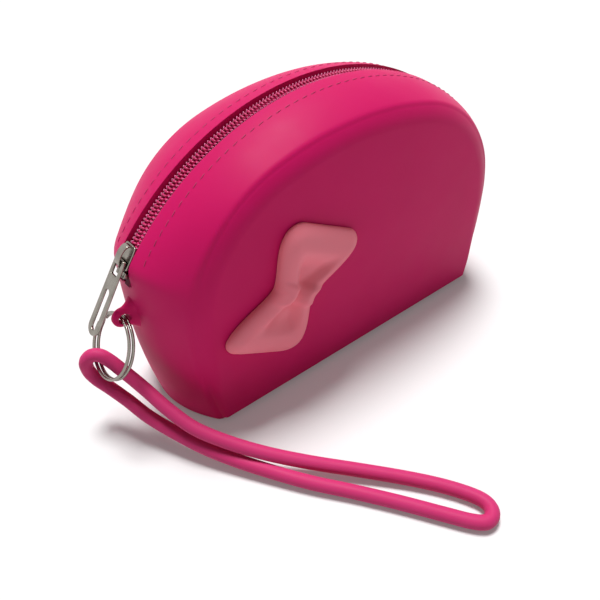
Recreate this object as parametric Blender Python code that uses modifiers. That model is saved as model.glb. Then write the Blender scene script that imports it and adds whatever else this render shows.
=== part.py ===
"""A moulded silicone purse: one shell with a coil zip over its top, a bow, a split ring and a wrist strap.

+X runs along the purse towards the end without the eyelet, +Y goes from its front face to its back, and
+Z is up. The origin is the middle of the flat base. Lengths are in metres.
"""
import math

import bmesh
import bpy
from mathutils import Matrix, Vector

# Shell outlines: the crease where face and gusset meet, and the crown along the middle of the gusset
CREASE_HALF_DEPTH = 0.0215
CREASE_TOP_Z = 0.0890
CREASE_TOP_RADIUS = 0.112
CREASE_SHOULDER_RADIUS = 0.048
CREASE_SIDE_X = 0.0652
CREASE_BASE_X = 0.0610
CROWN_TOP_Z = 0.0954
CROWN_TOP_RADIUS = 0.0922
CROWN_SHOULDER_RADIUS = 0.0065
CROWN_SIDE_X = 0.0728
CROWN_BASE_X = 0.0690
CROWN_POWER = 2.0
BASE_FLARE_SHARE = 0.030
FLARE_Z = 0.050
BELLY_Z = 0.038
BASE_CORNER_RADIUS = 0.0030
SHELL_WALL = 0.0026
RIM_WIDTH = 0.0026
RIM_RISE = 0.0016
FACE_DOME = 0.0010
OUTLINE_STEPS = 20
CORNER_STEPS = 3
BASE_STEPS = 5
GUSSET_SHARES = (0.0, 0.18, 0.37, 0.56, 0.74, 0.89, 0.97)
RIM_SHARES = ((0.0, 0.0), (0.10, 0.42), (0.36, 0.80), (0.70, 0.97), (1.0, 1.0))
FACE_SHARES = (0.72, 0.40)
FINE_STEPS = 60

# Zip: everything on it lies on circles about one axis, parallel to Y
ZIP_AXIS_Z = CROWN_TOP_Z - CROWN_TOP_RADIUS
COIL_DEPTH = 0.0019
COIL_CENTRE_RADIUS = CROWN_TOP_RADIUS - COIL_DEPTH
COIL_HALF_HEIGHT = 0.00085
COIL_INNER_Y = 0.00065
COIL_OUTER_Y = 0.0024
COIL_END_INSET = 0.00097
COIL_END = math.asin((CROWN_SIDE_X - COIL_END_INSET) / COIL_CENTRE_RADIUS)
STOP_GAP = 0.00047
STOP_LENGTH = 0.0019
STOP_START = COIL_END + STOP_GAP / COIL_CENTRE_RADIUS
STOP_SWEEP = STOP_LENGTH / COIL_CENTRE_RADIUS
SEAT_GAP = 0.00025
TAPE_THICKNESS = 0.0005
TAPE_FLAT_Y = 0.0031
TAPE_OUTER_Y = 0.0095
TAPE_DROP = 0.0024
TAPE_TAIL = 0.0011
TAPE_END = STOP_START + STOP_SWEEP + TAPE_TAIL / COIL_CENTRE_RADIUS
WING_SETBACK = 0.0030
TAPE_WING_END = COIL_END - WING_SETBACK / COIL_CENTRE_RADIUS
SLOT_HALF_WIDTH = 0.00345
SLOT_END_GAP = 0.0008
SLOT_END = TAPE_END + SLOT_END_GAP / COIL_CENTRE_RADIUS
CUT_OVERRUN = 0.006
ARC_STEP = math.radians(3.0)
STOP_PROUD = 0.0003
THREAD_Y = 0.0080
THREAD_WIDTH = 0.0005
THREAD_HEIGHT = 0.0003

# Slider, drawn at the top of the zip's circle and turned back to where it stands closed
SLIDER_LENGTH = 0.0076
SLIDER_PARK_GAP = 0.00014
SLIDER_REST = COIL_END - (SLIDER_LENGTH / 2 + SLIDER_PARK_GAP) / COIL_CENTRE_RADIUS
SLIDER_HALF_WIDTH = 0.00315
SLIDER_TAIL_HALF_WIDTH = 0.0027
SLIDER_PLATE = 0.0007
SLIDER_CLEARANCE = 0.0003
SLIDER_LOWER_EXTRA = 0.00035
SLIDER_FLANGE = 0.0005
SLIDER_POST_HALF_WIDTH = 0.00035
SLIDER_POST_LENGTH = 0.0018
SLIDER_EDGE = 0.0003
BAIL_LENGTH = 0.0070
BAIL_HEIGHT = 0.0024
BAIL_THICKNESS = 0.0006
BAIL_HALF_WIDTH = 0.00125
BAIL_STEPS = 10

# Pull, hanging from a cross bar under the bail
PULL_PIVOT_AHEAD = 0.0016
PULL_PIVOT_HEIGHT = 0.0009
PULL_LEAN = math.radians(35.0)
PULL_LENGTH = 0.0251
PULL_HALF_WIDTH = 0.0030
PULL_HEAD_HALF_WIDTH = 0.0027
PULL_THICKNESS = 0.0009
PULL_BAR = 0.0008
PULL_WINDOW_HALF_WIDTH = 0.0016
PULL_WINDOW_LENGTH = 0.0046
PULL_SLOT_HALF_WIDTH = 0.0013
PULL_SLOT_LENGTH = 0.0110
PULL_SLOT_MARGIN = 0.0018
PULL_EDGE = 0.0003
ROUND_STEPS = 10

# Eyelet on the shell and the double-wound ring through it
EYELET_STAND = 0.0037
EYELET_DROP = 0.01592
EYELET_X = -CROWN_SIDE_X - EYELET_STAND
EYELET_Z = ZIP_AXIS_Z + COIL_CENTRE_RADIUS * math.cos(COIL_END) - EYELET_DROP
EYELET_RADIUS = 0.0034
EYELET_THICKNESS = 0.0026
EYELET_ROOT_DEPTH = 0.0014
EYELET_ROOT_RISE = 0.0095
EYELET_ROOT_FALL = 0.0100
RING_MEAN_RADIUS = 0.01035
RING_WIRE_RADIUS = 0.00052
RING_TURN_GAP = 0.00042
RING_LEAN = math.radians(30.5)
RING_SPLIT = math.radians(75.0)
RING_STEP_SWEEP = math.radians(34.0)
RING_OVERLAP = math.radians(14.0)
RING_STEPS_PER_TURN = 40
HOLE_CLEARANCE = 0.00045

# Wrist strap: the middle of the moulded cord, a closed loop that passes through the ring
STRAP_RADIUS = 0.0022
STRAP_SAMPLES = 2
STRAP_ROUTE = (
    (-0.0820, -0.0025, 0.0245),
    (-0.0836, 0.0005, 0.0270),
    (-0.0856, 0.0033, 0.0290),
    (-0.0880, 0.0050, 0.0290),
    (-0.0898, 0.0060, 0.0265),
    (-0.0897, 0.0062, 0.0223),
    (-0.0884, 0.0045, 0.0190),
    (-0.0863, 0.0010, 0.0165),
    (-0.0835, -0.0050, 0.0133),
    (-0.0810, -0.0125, 0.0106),
    (-0.0770, -0.0215, 0.0080),
    (-0.0723, -0.0310, 0.0058),
    (-0.0667, -0.0405, 0.0042),
    (-0.0605, -0.0503, 0.0033),
    (-0.0536, -0.0607, 0.0028),
    (-0.0455, -0.0715, 0.0025),
    (-0.0375, -0.0830, 0.0024),
    (-0.0306, -0.0937, 0.0024),
    (-0.0266, -0.0997, 0.0024),
    (-0.0236, -0.1024, 0.0024),
    (-0.0205, -0.1019, 0.0024),
    (-0.0189, -0.0990, 0.0024),
    (-0.0198, -0.0946, 0.0024),
    (-0.0240, -0.0868, 0.0024),
    (-0.0306, -0.0777, 0.0026),
    (-0.0400, -0.0668, 0.0034),
    (-0.0502, -0.0560, 0.0049),
    (-0.0592, -0.0463, 0.0071),
    (-0.0667, -0.0370, 0.0096),
    (-0.0727, -0.0280, 0.0125),
    (-0.0763, -0.0194, 0.0162),
    (-0.0788, -0.0116, 0.0201),
    (-0.0805, -0.0064, 0.0225),
)

# Bow on the front face
BOW_X = -0.0305
BOW_Z = 0.0431
BOW_TILT = math.radians(50.0)
BOW_LEAN_SHARE = -0.20
BOW_HALF_LENGTH = 0.0229
BOW_LOBE_HALF_WIDTH = 0.0146
BOW_WAIST_HALF_WIDTH = 0.0080
BOW_RIM_HEIGHT = 0.0030
BOW_DISH = 0.0012
BOW_RIM_WIDTH = 0.0032
BOW_CORNER_RADIUS = 0.0050
BOW_GAP = 0.0003
BOW_SKIRT = 0.0006
KNOT_HALF_LENGTH = 0.0045
KNOT_RISE = 0.0012
BOW_LENGTH_STEPS = 26
BOW_WIDTH_SHARES = (-1.0, -0.97, -0.88, -0.74, -0.5, -0.2, 0.2, 0.5, 0.74, 0.88, 0.97, 1.0)

MERGE_DISTANCE = 0.00001


def clear_scene():
    for old in list(bpy.data.objects):
        bpy.data.objects.remove(old, do_unlink=True)


def make_collection(name):
    made = bpy.data.collections.new(name)
    bpy.context.scene.collection.children.link(made)
    return made


def make_material(name, colour, roughness, metallic):
    made = bpy.data.materials.new(name)
    made.use_nodes = True
    shader = made.node_tree.nodes["Principled BSDF"]
    shader.inputs["Base Color"].default_value = (*colour, 1.0)
    shader.inputs["Roughness"].default_value = roughness
    shader.inputs["Metallic"].default_value = metallic
    return made


def mesh_object(name, bm, material, collection):
    """An object that holds the bmesh, with its faces turned outwards."""
    bmesh.ops.recalc_face_normals(bm, faces=bm.faces)
    mesh = bpy.data.meshes.new(name)
    bm.to_mesh(mesh)
    bm.free()
    mesh.shade_smooth()
    mesh.set_sharp_from_angle(angle=math.radians(40.0))
    made = bpy.data.objects.new(name, mesh)
    made.data.materials.append(material)
    collection.objects.link(made)
    return made


def as_cutter(made):
    made.hide_render = True
    made.display_type = "WIRE"
    return made


def add_boolean(made, other, operation):
    step = made.modifiers.new(operation.title() + " " + other.name, "BOOLEAN")
    step.operation = operation
    step.solver = "EXACT"
    step.object = other
    return step


def add_bevel(made, width, segments):
    step = made.modifiers.new("Rounded edges", "BEVEL")
    step.width = width
    step.segments = segments
    step.limit_method = "ANGLE"
    step.angle_limit = math.radians(50.0)
    return step


def evenly_spaced(points, count):
    """count + 1 points at equal distances along a line of points."""
    along = [0.0]
    for before, after in zip(points, points[1:]):
        along.append(along[-1] + (after - before).length)
    spaced = []
    place = 0
    for step in range(count + 1):
        target = along[-1] * step / count
        while place < len(along) - 2 and along[place + 1] < target:
            place += 1
        share = (target - along[place]) / (along[place + 1] - along[place])
        spaced.append(points[place].lerp(points[place + 1], share))
    return spaced


def half_outline(top_z, top_radius, shoulder_radius, side_x, base_x):
    """Half an outline in (x, z), from the middle of the top to the middle of the base."""
    reach = top_radius - shoulder_radius
    shoulder_x = side_x - shoulder_radius
    turn = math.asin(shoulder_x / reach)
    top_centre_z = top_z - top_radius
    shoulder_z = top_centre_z + reach * math.cos(turn)
    line = []
    for step in range(FINE_STEPS + 1):
        angle = turn * step / FINE_STEPS
        line.append(Vector((top_radius * math.sin(angle), top_centre_z + top_radius * math.cos(angle))))
    for step in range(1, FINE_STEPS + 1):
        angle = turn + (math.pi / 2 - turn) * step / FINE_STEPS
        across = shoulder_radius * math.sin(angle)
        line.append(Vector((shoulder_x + across, shoulder_z + shoulder_radius * math.cos(angle))))
    for step in range(FINE_STEPS + 1):
        z = BELLY_Z + (BASE_CORNER_RADIUS - BELLY_Z) * step / FINE_STEPS
        fall = (BELLY_Z - z) / (BELLY_Z - BASE_CORNER_RADIUS)
        line.append(Vector((side_x - (side_x - base_x) * fall * fall, z)))
    half = evenly_spaced(line, OUTLINE_STEPS)
    corner_x = base_x - BASE_CORNER_RADIUS
    for step in range(1, CORNER_STEPS + 1):
        angle = math.pi / 2 * step / CORNER_STEPS
        x = corner_x + BASE_CORNER_RADIUS * math.cos(angle)
        half.append(Vector((x, BASE_CORNER_RADIUS - BASE_CORNER_RADIUS * math.sin(angle))))
    for step in range(1, BASE_STEPS + 1):
        half.append(Vector((corner_x * (1 - step / BASE_STEPS), 0.0)))
    return half


def whole_outline(half):
    return half + [Vector((-p.x, p.y)) for p in half[-2:0:-1]]


def outward_normals(outline):
    normals = []
    for index, before in enumerate(outline):
        after = outline[(index + 2) % len(outline)]
        run = (after - before).normalized()
        normals.append(Vector((-run.y, run.x)))
    return normals[-1:] + normals[:-1]


def face_depth(x, z):
    """How far a face stands in front of its edge at a point, from its dome."""
    middle_z = CREASE_TOP_Z / 2
    return FACE_DOME * (1 - (x / CREASE_SIDE_X) ** 2) * (1 - ((z - middle_z) / middle_z) ** 2)


def flare(z):
    """The shell's depth at a height as a share of its depth at the base."""
    return 1 + BASE_FLARE_SHARE * smooth_step(z / FLARE_Z)


def smooth_step(share):
    held = min(1.0, max(0.0, share))
    return held * held * (3 - 2 * held)


def shell_sections():
    """The shell's closed sections from the middle of the front face to the middle of the back one."""
    crease = whole_outline(
        half_outline(CREASE_TOP_Z, CREASE_TOP_RADIUS, CREASE_SHOULDER_RADIUS, CREASE_SIDE_X, CREASE_BASE_X)
    )
    crown = whole_outline(
        half_outline(CROWN_TOP_Z, CROWN_TOP_RADIUS, CROWN_SHOULDER_RADIUS, CROWN_SIDE_X, CROWN_BASE_X)
    )
    normals = outward_normals(crease)
    rim = [[p - n * RIM_WIDTH * inset for p, n in zip(crease, normals)] for inset, rise in RIM_SHARES]
    hub = Vector((0.0, CREASE_TOP_Z / 2))
    face_y = CREASE_HALF_DEPTH + RIM_RISE * RIM_SHARES[-1][1]
    front = []
    for share in reversed(FACE_SHARES):
        loop = [hub + (p - hub) * share for p in rim[-1]]
        front.append([Vector((p.x, -(face_y + face_depth(p.x, p.y)) * flare(p.y), p.y)) for p in loop])
    for (inset, rise), loop in zip(reversed(RIM_SHARES), reversed(rim)):
        y = CREASE_HALF_DEPTH + RIM_RISE * rise
        front.append([Vector((p.x, -y * flare(p.y), p.y)) for p in loop])
    for share in reversed(GUSSET_SHARES):
        weight = 1 - share**CROWN_POWER
        loop = [a.lerp(b, weight) for a, b in zip(crease, crown)]
        front.append([Vector((p.x, -CREASE_HALF_DEPTH * share * flare(p.y), p.y)) for p in loop])
    back = [[Vector((p.x, -p.y, p.z)) for p in loop] for loop in reversed(front[:-1])]
    centre_y = (face_y + face_depth(hub.x, hub.y)) * flare(hub.y)
    return front + back, Vector((hub.x, -centre_y, hub.y)), Vector((hub.x, centre_y, hub.y))


def build_shell(material, collection, cutters):
    """The silicone moulding: a lofted skin, thickened inwards, slotted for the zip, with its eyelet."""
    sections, front_centre, back_centre = shell_sections()
    bm = bmesh.new()
    loops = [[bm.verts.new(p) for p in section] for section in sections]
    count = len(loops[0])
    for before, after in zip(loops, loops[1:]):
        for index in range(count):
            nxt = (index + 1) % count
            bm.faces.new((before[index], before[nxt], after[nxt], after[index]))
    for centre, loop in ((front_centre, loops[0]), (back_centre, loops[-1])):
        hub = bm.verts.new(centre)
        for index in range(count):
            bm.faces.new((loop[index], loop[(index + 1) % count], hub))
    shell = mesh_object("body_shell", bm, material, collection)
    wall = shell.modifiers.new("Wall", "SOLIDIFY")
    wall.thickness = SHELL_WALL
    wall.offset = -1.0
    add_boolean(shell, build_slot_cutter(material, cutters), "DIFFERENCE")
    add_boolean(shell, build_eyelet(material, cutters), "UNION")
    return shell


def spun_solid(name, profile, start, end, material, collection):
    """A bar along the zip's circle. profile holds (y, radius) points, and angles run from +Z to +X."""
    bm = bmesh.new()
    corners = [bm.verts.new((0.0, y, radius)) for y, radius in profile]
    face = bm.faces.new(corners)
    steps = max(2, round((end - start) / ARC_STEP))
    bmesh.ops.rotate(bm, verts=bm.verts, cent=Vector(), matrix=Matrix.Rotation(start, 3, "Y"))
    first = bm.faces.new([bm.verts.new(v.co) for v in reversed(corners)])
    spun = bmesh.ops.spin(
        bm,
        geom=[face, *face.edges, *face.verts],
        cent=Vector(),
        axis=Vector((0.0, 1.0, 0.0)),
        angle=end - start,
        steps=steps,
        use_duplicate=False,
    )
    if not first.is_valid or not spun["geom_last"]:
        raise RuntimeError("the spin of " + name + " made no solid")
    bmesh.ops.remove_doubles(bm, verts=bm.verts, dist=MERGE_DISTANCE)
    made = mesh_object(name, bm, material, collection)
    made.location = (0.0, 0.0, ZIP_AXIS_Z)
    return made


def build_slot_cutter(material, cutters):
    low = COIL_CENTRE_RADIUS - CUT_OVERRUN
    high = COIL_CENTRE_RADIUS + CUT_OVERRUN + CUT_OVERRUN
    profile = (
        (-SLOT_HALF_WIDTH, low),
        (SLOT_HALF_WIDTH, low),
        (SLOT_HALF_WIDTH, high),
        (-SLOT_HALF_WIDTH, high),
    )
    return as_cutter(spun_solid("slot_cutter", profile, -SLOT_END, SLOT_END, material, cutters))


def curve_to_mesh(name, curve_object, collection):
    """A mesh object made from a curve, its caps joined on and the curve removed."""
    bpy.context.view_layer.update()
    evaluated = curve_object.evaluated_get(bpy.context.evaluated_depsgraph_get())
    mesh = bpy.data.meshes.new_from_object(evaluated)
    bm = bmesh.new()
    bm.from_mesh(mesh)
    bmesh.ops.remove_doubles(bm, verts=bm.verts, dist=MERGE_DISTANCE)
    bm.to_mesh(mesh)
    bm.free()
    mesh.name = name
    made = bpy.data.objects.new(name, mesh)
    made.matrix_world = curve_object.matrix_world.copy()
    collection.objects.link(made)
    bpy.data.objects.remove(curve_object)
    return made


def flat_plate(name, outlines, thickness, material, collection):
    """A plate from closed outlines in its own XY plane, the first the edge and the rest its holes."""
    curve = bpy.data.curves.new(name + "_outline", "CURVE")
    curve.dimensions = "2D"
    curve.fill_mode = "BOTH"
    curve.extrude = thickness / 2
    for outline in outlines:
        spline = curve.splines.new("POLY")
        spline.points.add(len(outline) - 1)
        for point, (x, y) in zip(spline.points, outline):
            point.co = (x, y, 0.0, 1.0)
        spline.use_cyclic_u = True
    curve.materials.append(material)
    guide = bpy.data.objects.new(name + "_curve", curve)
    collection.objects.link(guide)
    return curve_to_mesh(name, guide, collection)


def arc_points(centre, radius, start, end, steps):
    points = []
    for step in range(steps + 1):
        angle = start + (end - start) * step / steps
        points.append((centre[0] + radius * math.cos(angle), centre[1] + radius * math.sin(angle)))
    return points


def ring_half_diagonal():
    """The reach of the two wires, side by side, from the middle of their section."""
    across = 2 * RING_WIRE_RADIUS + RING_TURN_GAP / 2
    return math.hypot(across, RING_WIRE_RADIUS)


def build_eyelet(material, cutters):
    """The eyelet's plate, drawn in (x, z) about the hole and rooted in the shell's end wall."""
    hole_radius = ring_half_diagonal() + HOLE_CLEARANCE
    root_x = -CROWN_SIDE_X + EYELET_ROOT_DEPTH - EYELET_X
    upper = math.radians(70.0)
    lower = math.radians(290.0)
    edge = [(root_x, -EYELET_ROOT_FALL), (root_x, EYELET_ROOT_RISE)]
    edge += arc_points((0.0, 0.0), EYELET_RADIUS, upper, lower, ROUND_STEPS)
    hole = arc_points((0.0, 0.0), hole_radius, 0.0, math.tau, 2 * ROUND_STEPS)[:-1]
    plate = flat_plate("eyelet", (edge, hole), EYELET_THICKNESS, material, cutters)
    plate.rotation_euler = (math.pi / 2, 0.0, 0.0)
    plate.location = (EYELET_X, 0.0, EYELET_Z)
    return as_cutter(plate)


def tape_top_radius():
    return COIL_CENTRE_RADIUS - COIL_HALF_HEIGHT - SEAT_GAP


def build_tape(name, side, material, collection):
    """One half of the zip tape: a flat strip that carries the coil, with a wing sewn under the shell."""
    high = tape_top_radius()
    low = high - TAPE_THICKNESS
    strip = (
        (side * COIL_INNER_Y, low),
        (side * TAPE_FLAT_Y, low),
        (side * TAPE_FLAT_Y, high),
        (side * COIL_INNER_Y, high),
    )
    made = spun_solid(name, strip, -TAPE_END, TAPE_END, material, collection)
    root_y = TAPE_FLAT_Y - TAPE_THICKNESS
    wing = (
        (side * root_y, low),
        (side * TAPE_OUTER_Y, low - TAPE_DROP),
        (side * TAPE_OUTER_Y, high - TAPE_DROP),
        (side * TAPE_FLAT_Y, high - TAPE_THICKNESS / 2),
        (side * root_y, high - TAPE_THICKNESS / 2),
    )
    cutter = spun_solid(name + "_wing", wing, -TAPE_WING_END, TAPE_WING_END, material, cutters_of(collection))
    add_boolean(made, as_cutter(cutter), "UNION")
    return made


def cutters_of(collection):
    return bpy.data.collections[collection.name + "_cutters"]


def build_coil(name, side, material, collection):
    """One coil half, the space that its turns fill: a bar of eight sides along the tape's edge."""
    middle_y = (COIL_INNER_Y + COIL_OUTER_Y) / 2
    half_y = (COIL_OUTER_Y - COIL_INNER_Y) / 2
    profile = []
    for step in range(8):
        angle = math.tau * (step + 0.5) / 8
        y = middle_y + half_y * math.cos(angle) / math.cos(math.pi / 8)
        profile.append((side * y, COIL_CENTRE_RADIUS + COIL_HALF_HEIGHT * math.sin(angle)))
    return spun_solid(name, profile, -COIL_END, COIL_END, material, collection)


def build_stop(name, low_y, high_y, start, material, collection):
    low = tape_top_radius() + SEAT_GAP
    high = COIL_CENTRE_RADIUS + COIL_HALF_HEIGHT + STOP_PROUD
    profile = ((low_y, low), (high_y, low), (high_y, high), (low_y, high))
    made = spun_solid(name, profile, start, start + STOP_SWEEP, material, collection)
    add_bevel(made, STOP_PROUD, 2)
    return made


def build_thread(name, side, material, collection):
    """The locked run of the seam, under the tape's wing."""
    slope = TAPE_DROP / (TAPE_OUTER_Y - TAPE_FLAT_Y)
    inner_y = THREAD_Y - THREAD_WIDTH / 2
    outer_y = THREAD_Y + THREAD_WIDTH / 2
    under = tape_top_radius() - TAPE_THICKNESS - SEAT_GAP - slope * (outer_y - TAPE_FLAT_Y)
    profile = (
        (side * inner_y, under - THREAD_HEIGHT),
        (side * outer_y, under - THREAD_HEIGHT),
        (side * outer_y, under),
        (side * inner_y, under),
    )
    return spun_solid(name, profile, -TAPE_WING_END, TAPE_WING_END, material, collection)


def add_box(bm, size, centre):
    made = bmesh.ops.create_cube(bm, size=1.0)["verts"]
    bmesh.ops.scale(bm, vec=Vector(size), verts=made)
    bmesh.ops.translate(bm, vec=Vector(centre), verts=made)


def slider_box(name, size, centre, material, collection):
    bm = bmesh.new()
    add_box(bm, size, centre)
    made = mesh_object(name, bm, material, cutters_of(collection))
    made.location = (0.0, 0.0, ZIP_AXIS_Z)
    made.rotation_euler = (0.0, -SLIDER_REST, 0.0)
    return as_cutter(made)


def slider_plate_radius():
    """The underside of the slider's upper plate."""
    return COIL_CENTRE_RADIUS + COIL_HALF_HEIGHT + SLIDER_CLEARANCE


def build_slider(material, collection):
    """The cast slider: two plates joined by a post, side flanges and a bail for the pull."""
    upper = slider_plate_radius()
    lower_top = tape_top_radius() - TAPE_THICKNESS - SLIDER_CLEARANCE - SLIDER_LOWER_EXTRA
    front_x = -SLIDER_LENGTH / 2
    nose_x = front_x + SLIDER_FLANGE
    outline = (
        (front_x, -SLIDER_TAIL_HALF_WIDTH),
        (nose_x, -SLIDER_HALF_WIDTH),
        (0.0, -SLIDER_HALF_WIDTH),
        (-front_x, -SLIDER_TAIL_HALF_WIDTH),
        (-front_x, SLIDER_TAIL_HALF_WIDTH),
        (0.0, SLIDER_HALF_WIDTH),
        (nose_x, SLIDER_HALF_WIDTH),
        (front_x, SLIDER_TAIL_HALF_WIDTH),
    )
    bm = bmesh.new()
    base = bm.faces.new([bm.verts.new((x, y, upper)) for x, y in outline])
    grown = bmesh.ops.extrude_face_region(bm, geom=[base])["geom"]
    top_verts = [item for item in grown if isinstance(item, bmesh.types.BMVert)]
    bmesh.ops.translate(bm, vec=Vector((0.0, 0.0, SLIDER_PLATE)), verts=top_verts)
    slider = mesh_object("slider_body", bm, material, collection)
    slider.location = (0.0, 0.0, ZIP_AXIS_Z)
    slider.rotation_euler = (0.0, -SLIDER_REST, 0.0)
    add_bevel(slider, SLIDER_EDGE, 2)

    lower_width = 2 * SLIDER_TAIL_HALF_WIDTH
    lower_z = lower_top - SLIDER_PLATE / 2
    plate = slider_box(
        "slider_lower_plate", (SLIDER_LENGTH, lower_width, SLIDER_PLATE), (0.0, 0.0, lower_z), material, collection
    )
    post_x = front_x + SLIDER_POST_LENGTH
    post_height = upper - lower_top + SLIDER_PLATE
    post_z = (upper + lower_top) / 2
    post = slider_box(
        "slider_post",
        (SLIDER_POST_LENGTH, 2 * SLIDER_POST_HALF_WIDTH, post_height),
        (post_x, 0.0, post_z),
        material,
        collection,
    )
    add_boolean(slider, plate, "UNION")
    add_boolean(slider, post, "UNION")
    flange_height = COIL_HALF_HEIGHT + SLIDER_PLATE / 2
    flange_y = SLIDER_TAIL_HALF_WIDTH - SLIDER_FLANGE / 2
    if flange_y - SLIDER_FLANGE / 2 < COIL_OUTER_Y + SLIDER_CLEARANCE / 2:
        flange_y = COIL_OUTER_Y + SLIDER_CLEARANCE / 2 + SLIDER_FLANGE / 2
    for side in (-1, 1):
        flange = slider_box(
            "slider_flange_right" if side > 0 else "slider_flange_left",
            (SLIDER_LENGTH / 2, SLIDER_FLANGE, flange_height),
            (0.0, side * flange_y, upper + SLIDER_PLATE / 2 - flange_height / 2),
            material,
            collection,
        )
        add_boolean(slider, flange, "UNION")
    add_boolean(slider, build_bail(upper + SLIDER_PLATE, material, collection), "UNION")
    return slider


def build_bail(plate_top, material, collection):
    """The bail: a flat arch along the slider, its feet sunk into the upper plate."""
    outer = []
    inner = []
    inner_height = BAIL_HEIGHT - BAIL_THICKNESS
    inner_half = BAIL_LENGTH / 2 - BAIL_THICKNESS
    for step in range(BAIL_STEPS + 1):
        angle = math.pi * step / BAIL_STEPS
        outer.append((BAIL_LENGTH / 2 * math.cos(angle), BAIL_HEIGHT * math.sin(angle) ** 0.6))
        inner.append((inner_half * math.cos(angle), inner_height * math.sin(angle) ** 0.6))
    foot = -SLIDER_PLATE / 2
    edge = [(BAIL_LENGTH / 2, foot), *outer, (-BAIL_LENGTH / 2, foot)]
    edge += [(-inner_half, foot), *reversed(inner), (inner_half, foot)]
    arch = flat_plate("slider_bail", (edge,), 2 * BAIL_HALF_WIDTH, material, cutters_of(collection))
    turn = Matrix.Rotation(-SLIDER_REST, 4, "Y")
    up = Matrix.Translation((0.0, 0.0, plate_top)) @ Matrix.Rotation(math.pi / 2, 4, "X")
    arch.matrix_world = Matrix.Translation((0.0, 0.0, ZIP_AXIS_Z)) @ turn @ up
    return as_cutter(arch)


def pull_pivot():
    """The middle of the pull's cross bar, where it hangs in the bail."""
    radius = slider_plate_radius() + SLIDER_PLATE + PULL_PIVOT_HEIGHT
    angle = SLIDER_REST + math.atan2(PULL_PIVOT_AHEAD, radius)
    return Vector((-radius * math.sin(angle), 0.0, ZIP_AXIS_Z + radius * math.cos(angle)))


def build_pull(material, collection):
    """The pull: a flat bar with a window round the bail and a round-ended slot near its tip."""
    bar_top = PULL_BAR / 2
    round_z = -PULL_LENGTH + PULL_HALF_WIDTH
    edge = [(-PULL_HEAD_HALF_WIDTH, bar_top), (PULL_HEAD_HALF_WIDTH, bar_top)]
    edge.reverse()
    edge += arc_points((0.0, round_z), PULL_HALF_WIDTH, -math.pi, 0.0, ROUND_STEPS)
    window_low = -bar_top - PULL_WINDOW_LENGTH
    window = (
        (-PULL_WINDOW_HALF_WIDTH, -bar_top),
        (PULL_WINDOW_HALF_WIDTH, -bar_top),
        (PULL_WINDOW_HALF_WIDTH, window_low),
        (-PULL_WINDOW_HALF_WIDTH, window_low),
    )
    slot_low = -PULL_LENGTH + PULL_SLOT_MARGIN + PULL_SLOT_HALF_WIDTH
    slot_high = slot_low + PULL_SLOT_LENGTH
    slot = arc_points((0.0, slot_low), PULL_SLOT_HALF_WIDTH, -math.pi, 0.0, ROUND_STEPS)
    slot += arc_points((0.0, slot_high), PULL_SLOT_HALF_WIDTH, 0.0, math.pi, ROUND_STEPS)
    pull = flat_plate("slider_pull", (edge, window, slot), PULL_THICKNESS, material, collection)
    add_bevel(pull, PULL_EDGE, 1)
    lean = Matrix.Rotation(PULL_LEAN, 4, "Y")
    upright = Matrix.Rotation(math.pi / 2, 4, "Z") @ Matrix.Rotation(math.pi / 2, 4, "X")
    pull.matrix_world = Matrix.Translation(pull_pivot()) @ lean @ upright
    return pull


def tube(name, points, radius, resolution, closed, material, collection):
    """A round wire or cord along points, with filled ends unless it closes on itself."""
    curve = bpy.data.curves.new(name, "CURVE")
    curve.dimensions = "3D"
    curve.bevel_depth = radius
    curve.bevel_resolution = resolution
    curve.use_fill_caps = not closed
    curve.twist_mode = "MINIMUM"
    spline = curve.splines.new("POLY")
    spline.points.add(len(points) - 1)
    for point, place in zip(spline.points, points):
        point.co = (*place, 1.0)
    spline.use_cyclic_u = closed
    curve.materials.append(material)
    made = bpy.data.objects.new(name, curve)
    collection.objects.link(made)
    return made


def build_ring(material, collection):
    """The split ring: nearly two turns of wire side by side, which cross over once beside the split."""
    apart = 2 * RING_WIRE_RADIUS + RING_TURN_GAP
    sweep = 2 * math.tau - RING_OVERLAP
    steps = round(RING_STEPS_PER_TURN * sweep / math.tau)
    points = []
    for step in range(steps + 1):
        turned = sweep * step / steps
        angle = RING_SPLIT + turned
        crossing = smooth_step((turned - math.tau + RING_OVERLAP + RING_STEP_SWEEP / 2) / RING_STEP_SWEEP)
        side = apart * (crossing - 0.5)
        y = RING_MEAN_RADIUS * math.sin(angle)
        z = RING_MEAN_RADIUS * math.cos(angle) - RING_MEAN_RADIUS
        points.append((side, y, z))
    ring = tube("split_ring", points, RING_WIRE_RADIUS, 1, False, material, collection)
    ring.location = (EYELET_X, 0.0, EYELET_Z)
    ring.rotation_euler = (0.0, RING_LEAN, 0.0)
    return ring


def closed_curve_points(route, samples):
    """Points of a smooth closed curve through the route's own points."""
    knots = [Vector(point) for point in route]
    count = len(knots)
    points = []
    for index in range(count):
        before, start = knots[index - 1], knots[index]
        end, after = knots[(index + 1) % count], knots[(index + 2) % count]
        for step in range(samples):
            t = step / samples
            leave = (end - before) / 2
            arrive = (after - start) / 2
            points.append(
                start * (2 * t**3 - 3 * t**2 + 1)
                + leave * (t**3 - 2 * t**2 + t)
                + end * (3 * t**2 - 2 * t**3)
                + arrive * (t**3 - t**2)
            )
    return points


def build_strap(material, collection):
    points = closed_curve_points(STRAP_ROUTE, STRAP_SAMPLES)
    return tube("wrist_strap", points, STRAP_RADIUS, 2, True, material, collection)


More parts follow.
